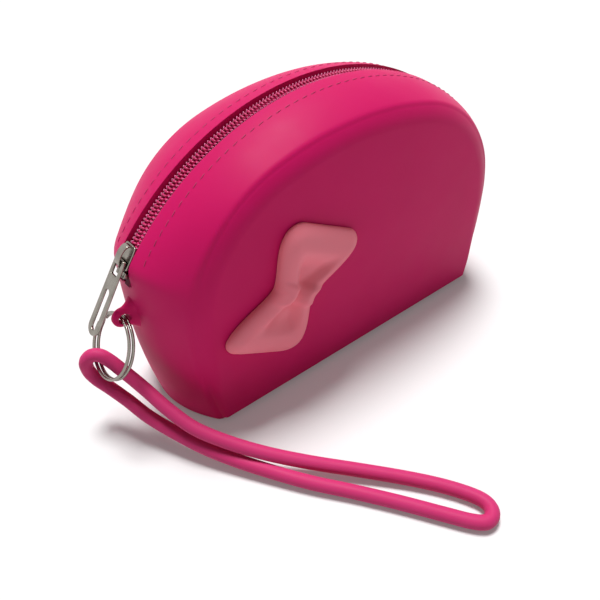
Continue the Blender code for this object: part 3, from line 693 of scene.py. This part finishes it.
def whole_outline(line, base_x):
    shares = [SLOT_SHARE * step / SLOT_STEPS for step in range(SLOT_STEPS)]
    shares += [SLOT_SHARE + (1 - SLOT_SHARE) * step / SIDE_STEPS for step in range(SIDE_STEPS + 1)]
    half = at_shares(line, shares)
    corner_x = base_x - BASE_CORNER_RADIUS
    for step in range(1, CORNER_STEPS + 1):
        angle = math.pi / 2 * step / CORNER_STEPS
        x = corner_x + BASE_CORNER_RADIUS * math.cos(angle)
        half.append(Vector((x, BASE_CORNER_RADIUS - BASE_CORNER_RADIUS * math.sin(angle))))
    for step in range(1, BASE_STEPS + 1):
        half.append(Vector((corner_x * (1 - step / BASE_STEPS), 0.0)))
    return half + [Vector((-p.x, p.y)) for p in half[-2:0:-1]]


def outward_normals(outline):
    normals = []
    for index, before in enumerate(outline):
        after = outline[(index + 2) % len(outline)]
        run = (after - before).normalized()
        normals.append(Vector((-run.y, run.x)))
    return normals[-1:] + normals[:-1]


def face_depth(x, z):
    middle_z = CREASE_TOP_Z / 2
    return FACE_DOME * (1 - (x / CREASE_SIDE_X) ** 2) * (1 - ((z - middle_z) / middle_z) ** 2)


def flare(z):
    return 1 + BASE_FLARE_SHARE * smooth_step(z / FLARE_Z)


def groove(distance):
    """How far the skin dips at a distance from the crease."""
    return GROOVE_DEPTH * math.exp(-((distance / GROOVE_HALF_WIDTH) ** 2))


def rim_width(z):
    """The rim narrows towards the base, where the corner is tight."""
    return RIM_FOOT_WIDTH + (RIM_WIDTH - RIM_FOOT_WIDTH) * smooth_step((z - RIM_FOOT_Z) / RIM_EASE)


def gusset_point(crease, crown, share, side):
    """The skin between crease and crown, share 1 at the crease, on the front (side -1) or the back."""
    place = crease.lerp(crown, 1 - share * share)
    return Vector((place.x, side * CREASE_HALF_DEPTH * share * flare(place.y), place.y))


def build_shell(material):
    """The silicone skin with its wall, its raised rims and the rounded lips of its slot."""
    crease = whole_outline(CREASE_LINE, CREASE_BASE_X)
    crown = whole_outline(CROWN_LINE, CROWN_BASE_X)
    normals = outward_normals(crease)
    hub = Vector((0.0, CREASE_TOP_Z / 2))
    face_y = CREASE_HALF_DEPTH + RIM_RISE
    inner = [p - n * rim_width(p.y) for p, n in zip(crease, normals)]
    front = []
    for share in reversed(FACE_SHARES):
        loop = [hub + (p - hub) * share for p in inner]
        front.append([Vector((p.x, -(face_y + face_depth(p.x, p.y)) * flare(p.y), p.y)) for p in loop])
    for step in range(RIM_STEPS, 0, -1):
        share = step / RIM_STEPS
        y = CREASE_HALF_DEPTH + RIM_RISE * (1 - (1 - share) ** 2)
        insets = [GROOVE_DEPTH + (rim_width(p.y) - GROOVE_DEPTH) * share for p in crease]
        loop = [p - n * inset for p, n, inset in zip(crease, normals, insets)]
        front.append([Vector((p.x, -(y + face_depth(p.x, p.y) * share) * flare(p.y), p.y)) for p in loop])
    lip_share = SLOT_HALF_WIDTH / (CREASE_HALF_DEPTH * flare(CROWN_TOP_Z))
    for share in (1.0, *GUSSET_SHARES, lip_share):
        dip = groove(CREASE_HALF_DEPTH * (1 - share))
        front.append([gusset_point(a - n * dip, b, share, -1) for a, b, n in zip(crease, crown, normals)])
    lip_row = len(front) - 1
    for share in MIDDLE_SHARES:
        front.append([gusset_point(a, b, share, -1) for a, b in zip(crease, crown)])
    middle = [gusset_point(a, b, 0.0, -1) for a, b in zip(crease, crown)]
    back = [[Vector((p.x, -p.y, p.z)) for p in loop] for loop in reversed(front)]
    loops = front + [middle] + back
    count = len(middle)
    last_row = len(loops) - 1 - lip_row
    verts = [p for loop in loops for p in loop]
    faces = []
    for row in range(len(loops) - 1):
        for index in range(count):
            in_slot = index < SLOT_STEPS or index >= count - SLOT_STEPS
            if lip_row <= row < last_row and in_slot:
                continue
            faces.append(quad(row, index, count))
    for side, row in ((-1, 0), (1, len(loops) - 1)):
        y = side * (face_y + face_depth(hub.x, hub.y)) * flare(hub.y)
        verts.append(Vector((hub.x, y, hub.y)))
        for index in range(count):
            faces.append((row * count + index, row * count + (index + 1) % count, len(verts) - 1))
    used = {index for face in faces for index in face}
    order = {old: new for new, old in enumerate(sorted(used))}
    verts = [verts[old] for old in sorted(used)]
    faces = [tuple(order[index] for index in face) for face in faces]
    shell = mesh_piece("shell_skin", verts, faces, material)
    wall = shell.modifiers.new("Wall", "SOLIDIFY")
    wall.thickness = SHELL_WALL
    wall.offset = -1.0
    lips = shell.modifiers.new("Lips", "BEVEL")
    lips.width = LIP_ROUND
    lips.segments = LIP_SEGMENTS
    lips.limit_method = "ANGLE"
    lips.angle_limit = LIP_ANGLE
    apply_modifiers(shell)
    shell.data.shade_smooth()
    return dress(shell, "purse", "silicone", "body_shell")


def arc_points(centre, radius, start, end, steps):
    points = []
    for step in range(steps + 1):
        angle = start + (end - start) * step / steps
        points.append((centre[0] + radius * math.cos(angle), centre[1] + radius * math.sin(angle)))
    return points


def plate_piece(name, outlines, thickness, rounding, material):
    """A flat plate in its own XY plane with rounded edges and holes."""
    curve = bpy.data.curves.new(name, "CURVE")
    curve.dimensions = "2D"
    curve.fill_mode = "BOTH"
    curve.extrude = thickness / 2 - rounding
    curve.bevel_depth = rounding
    curve.bevel_resolution = PLATE_ROUNDNESS
    curve.offset = -rounding
    for outline in outlines:
        spline = curve.splines.new("POLY")
        spline.points.add(len(outline) - 1)
        for point, (x, y) in zip(spline.points, outline):
            point.co = (x, y, 0.0, 1.0)
        spline.use_cyclic_u = True
    return add_object(name, curve, material)


def eased_corners(points, ease):
    """The outline with each corner drawn as a small curve."""
    made = []
    for index, spot in enumerate(points):
        corner = Vector(spot)
        before = Vector(points[index - 1]) - corner
        after = Vector(points[(index + 1) % len(points)]) - corner
        start = corner + before.normalized() * min(ease, before.length / 2)
        end = corner + after.normalized() * min(ease, after.length / 2)
        for step in range(CORNER_STEPS + 1):
            t = step / CORNER_STEPS
            point = start * (1 - t) ** 2 + corner * 2 * t * (1 - t) + end * t**2
            made.append((point.x, point.y))
    return made


def cast_plate(name, outlines, thickness, rounding, place, material, body, *nodes):
    """A rounded plate put in place as a mesh, for the slider and its pull."""
    piece = plate_piece(name, outlines, thickness, rounding, material)
    mesh = evaluated_mesh(piece)
    mesh.transform(place)
    bpy.data.objects.remove(piece)
    mesh.shade_smooth()
    mesh.set_sharp_from_angle(angle=PLATE_SHARP_ANGLE)
    return dress(add_object(name, mesh, material), body, "nickel", *nodes)


def lug_section(x):
    """Half the lug's height and half its thickness at a place along X."""
    ahead = x - EYELET_X
    if ahead < 0:
        round_share = math.sqrt(max(0.0, 1 - (ahead / EYELET_RADIUS) ** 2))
        return EYELET_RADIUS * round_share, EYELET_HALF_THICKNESS * round_share**EYELET_TIP_POWER
    grown = (ahead / (EYELET_ROOT_X - EYELET_X)) ** 2
    height = EYELET_RADIUS + (EYELET_ROOT_HALF_HEIGHT - EYELET_RADIUS) * grown
    return height, EYELET_HALF_THICKNESS + (EYELET_ROOT_HALF_THICKNESS - EYELET_HALF_THICKNESS) * grown


def ring_of_points(x, half_height, half_thickness):
    """A rounded section of the lug, in the plane of one x."""
    points = []
    for step in range(LUG_ROUND_STEPS):
        angle = math.tau * step / LUG_ROUND_STEPS
        across = signed_power(math.cos(angle), LUG_SQUARE_POWER)
        rise = signed_power(math.sin(angle), LUG_SQUARE_POWER)
        points.append(Vector((x, half_thickness * across, EYELET_Z + half_height * rise)))
    return points


def skinned(rows):
    """Faces between rows of points that close on themselves, with flat ends."""
    count = len(rows[0])
    verts = [p for row in rows for p in row]
    faces = [quad(row, index, count) for row in range(len(rows) - 1) for index in range(count)]
    faces.append(tuple(range(count)))
    faces.append(tuple(range(len(verts) - count, len(verts))))
    return verts, faces


def hole_cutter(material):
    """A waisted plug along Y, which cuts the hole with rounded mouths."""
    rows = []
    reach = EYELET_HALF_THICKNESS + HOLE_MOUTH
    for step in range(-HOLE_STEPS, HOLE_STEPS + 1):
        y = reach * step / HOLE_STEPS
        opened = max(0.0, abs(y) - EYELET_HALF_THICKNESS + HOLE_MOUTH) / (2 * HOLE_MOUTH)
        radius = EYELET_HOLE_RADIUS + HOLE_MOUTH * (1 - math.sqrt(1 - min(1.0, opened) ** 2))
        row = []
        for place in range(LUG_ROUND_STEPS):
            angle = math.tau * place / LUG_ROUND_STEPS
            row.append(Vector((EYELET_X + radius * math.cos(angle), y, EYELET_Z + radius * math.sin(angle))))
        rows.append(row)
    return mesh_piece("eyelet_hole", *skinned(rows), material)


def build_eyelet(material):
    """The lug on the shell's end: a soft tongue that swells into the wall, with the ring's hole."""
    tip_x = EYELET_X - EYELET_RADIUS
    rows = []
    for step in range(1, LUG_LENGTH_STEPS + 1):
        share = 1 - math.cos(math.pi / 2 * step / LUG_LENGTH_STEPS)
        x = tip_x + (EYELET_ROOT_X - tip_x) * share
        rows.append(ring_of_points(x, *lug_section(x)))
    lug = mesh_piece("eyelet_lug", *skinned(rows), material)
    cutter = hole_cutter(material)
    cut = lug.modifiers.new("Hole", "BOOLEAN")
    cut.operation = "DIFFERENCE"
    cut.solver = "EXACT"
    cut.object = cutter
    apply_modifiers(lug)
    bpy.data.objects.remove(cutter, do_unlink=True)
    lug.data.shade_smooth()
    lug.data.set_sharp_from_angle(angle=EYELET_SHARP_ANGLE)
    return dress(lug, "purse", "silicone")


# Zip
def zip_point(angle, y, radius):
    return Vector((radius * math.sin(angle), y, ZIP_AXIS_Z + radius * math.cos(angle)))


def build_tape(name, side, material, node):
    """The half of the tape that shows in the slot, with a folded edge under the coil."""
    high = COIL_RADIUS - COIL_HALF_HEIGHT - TAPE_GAP
    low = high - TAPE_THICKNESS
    ease = TAPE_EASE_SHARE * TAPE_THICKNESS
    profile = (
        (TAPE_INNER_Y, low + ease), (TAPE_INNER_Y, high - ease), (TAPE_INNER_Y + ease, high),
        (TAPE_OUTER_Y, high), (TAPE_OUTER_Y, low), (TAPE_INNER_Y + ease, low),
    )
    rows = []
    for step in range(ARC_STEPS + 1):
        angle = TAPE_END * (2 * step / ARC_STEPS - 1)
        rows.append([zip_point(angle, side * y, radius) for y, radius in profile])
    tape = mesh_piece(name, *skinned(rows), material)
    tape.data.set_sharp_from_angle(angle=TAPE_SHARP_ANGLE)
    return dress(tape, "purse", "tape", node)


def coil_turns(side):
    """A coil's pitch as an angle, its count of turns and its start, half a pitch apart on the two sides."""
    pitch_angle = COIL_PITCH / COIL_RADIUS
    turns = int(2 * COIL_END / pitch_angle) - 1
    return pitch_angle, turns, -turns * pitch_angle / 2 + COIL_STAGGER_SHARE * pitch_angle * side


def build_coil(name, side, material, node):
    """One nylon wire wound along the tape's edge."""
    pitch_angle, turns, start = coil_turns(side)
    middle_y = (COIL_HEAD_Y + COIL_BACK_Y) / 2
    reach_y = (COIL_BACK_Y - COIL_HEAD_Y) / 2
    points = []
    for step in range(turns * COIL_POINTS + 1):
        turn, part = divmod(step, COIL_POINTS)
        phase = math.tau * part / COIL_POINTS
        ahead = turn + (phase + COIL_SLANT_SHARE * math.cos(phase) - COIL_SLANT_SHARE) / math.tau
        y = side * (middle_y + reach_y * signed_power(math.cos(phase), COIL_SQUARE_POWER))
        height = COIL_RISE * signed_power(math.sin(phase), COIL_SQUARE_POWER)
        points.append(zip_point(start + ahead * pitch_angle, y, COIL_RADIUS + height))
    coil = wire_piece(name, [points], COIL_WIRE, COIL_ROUNDNESS, material)
    return dress(coil, "purse", "coil", node)


def build_chain_thread(name, side, material):
    """The sewing that holds the coil to its tape: one loop over each turn."""
    pitch_angle, turns, start = coil_turns(side)
    points = []
    for turn in range(turns):
        for ahead, height, drift in zip(CHAIN_THREAD_SHARES, CHAIN_THREAD_HEIGHTS, CHAIN_THREAD_DRIFTS):
            y = side * (CHAIN_THREAD_Y + drift * CHAIN_THREAD_WIRE)
            points.append(zip_point(start + (turn + ahead) * pitch_angle, y, COIL_RADIUS + height))
    thread = wire_piece(name, [points], CHAIN_THREAD_WIRE, THREAD_ROUNDNESS, material)
    return dress(thread, "purse", "thread")


def skin_at(angle, y):
    """The skin's point at a zip angle and a depth, and its outward normal."""
    def place(at_angle, at_y):
        share = abs(at_y) / (CREASE_HALF_DEPTH * flare(CROWN_TOP_Z))
        arc = abs(at_angle)
        along_share = arc * CROWN_TOP_RADIUS / CROWN_LENGTH
        crease = at_shares(CREASE_LINE, (along_share,))[0]
        crown = at_shares(CROWN_LINE, (along_share,))[0]
        found = gusset_point(crease, crown, share, math.copysign(1, at_y))
        return Vector((math.copysign(found.x, at_angle), at_y, found.z))

    along = place(angle + STITCH_NUDGE, y) - place(angle - STITCH_NUDGE, y)
    across = place(angle, y + STITCH_WIRE) - place(angle, y - STITCH_WIRE)
    return place(angle, y), across.cross(-along).normalized()


def build_stitches(name, side, material, node):
    """A row of lock stitches sunk a little in the silicone, each end going down its hole."""
    pitch_angle = STITCH_PITCH / CROWN_TOP_RADIUS
    half_count = int(STITCH_END / pitch_angle)
    runs = []
    for number in range(-half_count, half_count + 1):
        run = []
        for share, sink in zip(STITCH_SHARES, STITCH_SINKS):
            angle = number * pitch_angle + share * STITCH_LENGTH / 2 / CROWN_TOP_RADIUS
            place, normal = skin_at(angle, side * STITCH_Y + share * STITCH_SLANT / 2)
            run.append(place - normal * sink)
        runs.append(run)
    row = wire_piece(name, runs, STITCH_WIRE, THREAD_ROUNDNESS, material)
    return dress(row, "purse", "thread", node)


def slider_place():
    """The slider's own frame: X along the zip, Z away from the zip's axis."""
    return Matrix.Translation((0.0, 0.0, ZIP_AXIS_Z)) @ Matrix.Rotation(-SLIDER_REST, 4, "Y")


def build_slider(material):
    """The cast slider: two plates joined by a post, side flanges and the arched bail."""
    upper = COIL_RADIUS + COIL_HALF_HEIGHT + SLIDER_CLEARANCE
    tape_low = COIL_RADIUS - COIL_HALF_HEIGHT - TAPE_GAP - TAPE_THICKNESS
    lower = tape_low - SLIDER_CLEARANCE - SLIDER_LOWER_EXTRA - SLIDER_PLATE
    half_length = SLIDER_LENGTH / 2
    nose_x = SLIDER_FLANGE - half_length
    side_line = (
        (-half_length, SLIDER_TAIL_HALF_WIDTH), (nose_x, SLIDER_HALF_WIDTH),
        (0.0, SLIDER_HALF_WIDTH), (half_length, SLIDER_TAIL_HALF_WIDTH),
    )
    plate_line = [(x, -y) for x, y in side_line] + list(reversed(side_line))
    lift = SLIDER_PLATE / 2
    place = slider_place()
    cast_plate(
        "slider_plate", (eased_corners(plate_line, SLIDER_CORNER),), SLIDER_PLATE, SLIDER_EDGE,
        place @ Matrix.Translation((0.0, 0.0, upper + lift)), material, "slider", "slider_body",
    )
    tail_y = SLIDER_TAIL_HALF_WIDTH
    lower_line = (
        (-half_length, -tail_y), (half_length, -tail_y),
        (half_length, tail_y), (-half_length, tail_y),
    )
    cast_plate(
        "slider_under_plate", (eased_corners(lower_line, SLIDER_CORNER),), SLIDER_PLATE, SLIDER_EDGE,
        place @ Matrix.Translation((0.0, 0.0, lower + lift)), material, "slider",
    )
    on_edge = Matrix.Rotation(math.pi / 2, 4, "X")
    post_x = SLIDER_POST_LENGTH / 2
    post_line = (
        (-post_x, lower + lift), (post_x, lower + lift),
        (post_x, upper + lift), (-post_x, upper + lift),
    )
    post_place = place @ Matrix.Translation((SLIDER_POST_LENGTH - half_length, 0.0, 0.0)) @ on_edge
    post_thickness = 2 * SLIDER_POST_HALF_WIDTH
    cast_plate("slider_post", (post_line,), post_thickness, SLIDER_FINE_EDGE, post_place, material, "slider")
    flange_x = SLIDER_FLANGE_HALF_SHARE * SLIDER_LENGTH
    flange_low = upper - COIL_HALF_HEIGHT
    flange_line = (
        (-flange_x, flange_low), (flange_x, flange_low), (flange_x, upper + lift), (-flange_x, upper + lift),
    )
    flange_y = COIL_OUTER_Y + SLIDER_CLEARANCE / 2 + SLIDER_FLANGE / 2
    for name, side in (("slider_flange_front", -1), ("slider_flange_back", 1)):
        cast_plate(
            name, (eased_corners(flange_line, SLIDER_FINE_EDGE),), SLIDER_FLANGE, SLIDER_FINE_EDGE,
            place @ Matrix.Translation((0.0, side * flange_y, 0.0)) @ on_edge, material, "slider",
        )
    outer = []
    inner = []
    outer_x = BAIL_LENGTH / 2
    inner_x = outer_x - BAIL_THICKNESS
    for step in range(BAIL_STEPS + 1):
        angle = math.pi * step / BAIL_STEPS
        rise = math.sin(angle) ** BAIL_SQUARE_POWER if step % BAIL_STEPS else 0.0
        outer.append((outer_x * math.cos(angle), BAIL_HEIGHT * rise))
        inner.append((inner_x * math.cos(angle), (BAIL_HEIGHT - BAIL_THICKNESS) * rise))
    arch = [(outer_x, -lift), *outer, (-outer_x, -lift)]
    arch += [(-inner_x, -lift), *reversed(inner), (inner_x, -lift)]
    cast_plate(
        "slider_bail", (arch,), 2 * BAIL_HALF_WIDTH, BAIL_EDGE,
        place @ Matrix.Translation((0.0, 0.0, upper + SLIDER_PLATE)) @ on_edge, material, "slider",
    )


def build_pull(material):
    """The pull: a flat bar with a window round the bail and a round-ended slot near its tip."""
    bar_top = PULL_BAR / 2
    radius = COIL_RADIUS + COIL_HALF_HEIGHT + SLIDER_CLEARANCE + SLIDER_PLATE + PULL_PIVOT_HEIGHT
    angle = SLIDER_REST + math.atan2(PULL_PIVOT_AHEAD, radius)
    pivot = Vector((-radius * math.sin(angle), 0.0, ZIP_AXIS_Z + radius * math.cos(angle)))
    window_low = -bar_top - PULL_WINDOW_LENGTH
    window_x = PULL_WINDOW_HALF_WIDTH
    window = ((-window_x, -bar_top), (window_x, -bar_top), (window_x, window_low), (-window_x, window_low))
    round_z = PULL_HALF_WIDTH - PULL_LENGTH
    slot_low = PULL_SLOT_MARGIN + PULL_SLOT_HALF_WIDTH - PULL_LENGTH
    slot_high = slot_low + PULL_SLOT_LENGTH
    tip = arc_points((0.0, round_z), PULL_HALF_WIDTH, -math.pi, 0.0, ARCH_STEPS)
    head_x = PULL_HEAD_HALF_WIDTH
    head_line = ((head_x, round_z), (head_x, bar_top), (-head_x, bar_top), (-head_x, round_z))
    head = eased_corners(head_line, PULL_CORNER)
    head = head[CORNER_STEPS + 1 : -CORNER_STEPS - 1]
    slot = arc_points((0.0, slot_low), PULL_SLOT_HALF_WIDTH, -math.pi, 0.0, ARCH_STEPS)
    slot += arc_points((0.0, slot_high), PULL_SLOT_HALF_WIDTH, 0.0, math.pi, ARCH_STEPS)
    lean = Matrix.Rotation(PULL_LEAN, 4, "Y")
    upright = Matrix.Rotation(math.pi / 2, 4, "Z") @ Matrix.Rotation(math.pi / 2, 4, "X")
    cast_plate(
        "pull_bar", (tip + head, eased_corners(window, PULL_WINDOW_CORNER), slot), PULL_THICKNESS, PULL_EDGE,
        Matrix.Translation(pivot) @ lean @ upright, material, "pull", "slider_pull",
    )


# Ring
def build_ring(material):
    apart = 2 * RING_WIRE_RADIUS + RING_TURN_GAP
    sweep = 2 * math.tau - RING_OVERLAP
    steps = round(RING_STEPS_PER_TURN * sweep / math.tau)
    points = []
    for step in range(steps + 1):
        turned = sweep * step / steps
        angle = RING_SPLIT + turned
        crossing = smooth_step((turned - math.tau + RING_OVERLAP + RING_STEP_SWEEP / 2) / RING_STEP_SWEEP)
        side = apart * crossing - apart / 2
        down = RING_MEAN_RADIUS * math.cos(angle) - RING_MEAN_RADIUS
        points.append((side, RING_MEAN_RADIUS * math.sin(angle), down))
    ring = wire_piece("ring_wire", [points], RING_WIRE_RADIUS, RING_ROUNDNESS, material)
    ring.location = (EYELET_X, 0.0, EYELET_Z)
    ring.rotation_euler = (0.0, RING_LEAN, 0.0)
    return dress(ring, "ring", "nickel", "split_ring")


# Bow
def bow_half_width(along):
    share = min(1.0, abs(along) / (BOW_HALF_LENGTH - BOW_CORNER_RADIUS))
    spread = smooth_step(share) ** BOW_SPREAD_POWER
    grown = BOW_WAIST_HALF_WIDTH + (BOW_LOBE_HALF_WIDTH - BOW_WAIST_HALF_WIDTH) * spread
    into_corner = abs(along) - (BOW_HALF_LENGTH - BOW_CORNER_RADIUS)
    if into_corner <= 0:
        return grown
    left = math.sqrt(max(0.0, BOW_CORNER_RADIUS**2 - into_corner**2))
    return grown - BOW_CORNER_RADIUS + left


def round_over(share):
    """A quarter round: 0 at the edge and level from a share of 1 on."""
    held = min(1.0, max(0.0, share))
    return math.sqrt(1 - (1 - held) ** 2)


def bow_height(along, across, half_width):
    """The height above the bow's back: a round rim, a dished lobe with one soft fold, and the knot."""
    from_side = half_width - abs(across)
    from_end = BOW_HALF_LENGTH - abs(along)
    rounded = round_over(from_side / BOW_RIM_WIDTH) * round_over(from_end / BOW_END_RIM_WIDTH)
    sunk = smooth_step(from_side / BOW_RIM_WIDTH - 1) * smooth_step(from_end / BOW_END_RIM_WIDTH - 1)
    knot = KNOT_RISE * smooth_step(2 * (1 - abs(along) / KNOT_HALF_LENGTH)) * rounded
    lobe = smooth_step((abs(along) - KNOT_HALF_LENGTH) / KNOT_HALF_LENGTH)
    fold_line = -math.copysign(1, along) * (abs(along) - KNOT_HALF_LENGTH) * FOLD_SLOPE
    fold = FOLD_RISE * lobe * sunk * math.exp(-(((across - fold_line) / FOLD_WIDTH) ** 2))
    return BOW_SKIRT + (BOW_RIM_HEIGHT - BOW_SKIRT) * rounded - BOW_DISH * sunk + knot + fold


def build_bow(material):
    turn = Matrix.Rotation(BOW_TILT, 2)
    face_y = CREASE_HALF_DEPTH + RIM_RISE
    tops = []
    backs = []
    verts = []
    for step in range(BOW_LENGTH_STEPS + 1):
        along = -BOW_HALF_LENGTH * math.cos(math.pi * step / BOW_LENGTH_STEPS)
        half_width = bow_half_width(along)
        top_row = []
        back_row = []
        for place in range(BOW_WIDTH_STEPS + 1):
            across = -half_width * math.cos(math.pi * place / BOW_WIDTH_STEPS)
            spot = turn @ Vector((along + BOW_LEAN_SHARE * across, across))
            x = BOW_X + spot.x
            z = BOW_Z + spot.y
            back_y = -(face_y + face_depth(x, z)) * flare(z) - BOW_GAP
            top_row.append(len(verts))
            verts.append((x, back_y - bow_height(along, across, half_width), z))
            back_row.append(len(verts))
            verts.append((x, back_y, z))
        tops.append(top_row)
        backs.append(back_row)
    faces = []
    for rows in (tops, backs):
        for before, after in zip(rows, rows[1:]):
            for index in range(len(before) - 1):
                faces.append((before[index], before[index + 1], after[index + 1], after[index]))
    for top, back in ((tops[0], backs[0]), (tops[-1], backs[-1])):
        for index in range(len(top) - 1):
            faces.append((top[index], top[index + 1], back[index + 1], back[index]))
    for edge in (0, -1):
        for step in range(len(tops) - 1):
            faces.append((tops[step][edge], tops[step + 1][edge], backs[step + 1][edge], backs[step][edge]))
    bow = mesh_piece("bow_lobes", verts, faces, material)
    bow.data.set_sharp_from_angle(angle=BOW_SHARP_ANGLE)
    return dress(bow, "purse", "bow_silicone", "bow_ornament")


# Room
def build_floor():
    made, nodes, links, shader = blank_material("pale_floor")
    shader.inputs["Roughness"].default_value = FLOOR_ROUGHNESS
    shader.inputs["Specular IOR Level"].default_value = FLOOR_SPECULAR
    grain = object_noise(nodes, links, *FLOOR_GRAIN)
    colour = mixed(nodes, links, grain.outputs["Fac"], FLOOR_DARK, FLOOR_PALE)
    links.new(colour, shader.inputs["Base Color"])
    path = nodes.new("ShaderNodeLightPath")
    seen = combined(nodes, links, "MAXIMUM", path.outputs["Is Camera Ray"], path.outputs["Is Glossy Ray"])
    lift = combined(nodes, links, "MULTIPLY", seen, FLOOR_LIFT)
    shader.inputs["Emission Color"].default_value = WHITE
    links.new(lift, shader.inputs["Emission Strength"])
    verts = [(x * FLOOR_HALF, y * FLOOR_HALF, -FLOOR_DROP) for x, y in FLOOR_CORNERS]
    floor = mesh_piece("floor", verts, [tuple(range(len(verts)))], made)


def build_lights():
    lamp = bpy.data.lights.new("window", "SUN")
    lamp.energy = SUN_STRENGTH
    lamp.angle = SUN_SPREAD
    sun = bpy.data.objects.new("window", lamp)
    bpy.context.scene.collection.objects.link(sun)
    sun.rotation_mode = "QUATERNION"
    sun.rotation_quaternion = Vector(SUN_TO).to_track_quat("Z", "Y")
    world = bpy.data.worlds.new("studio")
    bpy.context.scene.world = world
    world.use_nodes = True
    nodes = world.node_tree.nodes
    links = world.node_tree.links
    back = nodes["Background"]
    back.inputs["Color"].default_value = WHITE
    path = nodes.new("ShaderNodeLightPath")
    seen = combined(nodes, links, "MAXIMUM", path.outputs["Is Camera Ray"], path.outputs["Is Glossy Ray"])
    both = combined(nodes, links, "MAXIMUM", seen, path.outputs["Is Transmission Ray"])
    links.new(ranged(nodes, links, both, SKY_STRENGTH, SEEN_STRENGTH), back.inputs["Strength"])


def main():
    bpy.context.scene.view_settings.view_transform = "Standard"
    build_camera()
    pink = silicone("pink_silicone", srgb(*PINK), srgb(*PINK_DEEP), SILICONE_ROUGHNESS)
    strap_pink = silicone("strap_silicone", srgb(*STRAP_PINK), srgb(*STRAP_PINK_DEEP), SILICONE_ROUGHNESS)
    build_strap(strap_pink)
    salmon = silicone("salmon_silicone", srgb(*SALMON), srgb(*SALMON_DEEP), SALMON_ROUGHNESS)
    cloth = woven("tape_weave", srgb(*CLOTH), srgb(*CLOTH_DEEP))
    nylon_pink = nylon("coil_nylon", srgb(*NYLON), srgb(*NYLON_DEEP))
    chain = spun_thread("chain_thread", srgb(*CHAIN), srgb(*CHAIN_DEEP))
    seam = spun_thread("seam_thread", srgb(*SEAM), srgb(*SEAM_DEEP))
    nickel = metal("nickel_plate", srgb(*NICKEL), srgb(*NICKEL_WORN), NICKEL_ROUGHNESS)
    build_shell(pink)
    build_eyelet(pink)
    for name, side in (("front", -1), ("back", 1)):
        build_tape("tape_weave_" + name, side, cloth, "zip_tape_" + name)
        build_coil("coil_turns_" + name, side, nylon_pink, "zip_coil_" + name)
        build_chain_thread("chain_loops_" + name, side, chain)
        build_stitches("stitch_row_" + name, side, seam, "seam_thread_" + name)
    build_ring(nickel)
    build_bow(salmon)
    build_slider(nickel)
    build_pull(nickel)
    for node in ("top_stop_front", "top_stop_back", "bottom_stop"):
        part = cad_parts[node]
        for slot in part.material_slots:
            slot.material = nickel
    build_floor()
    build_lights()


main()
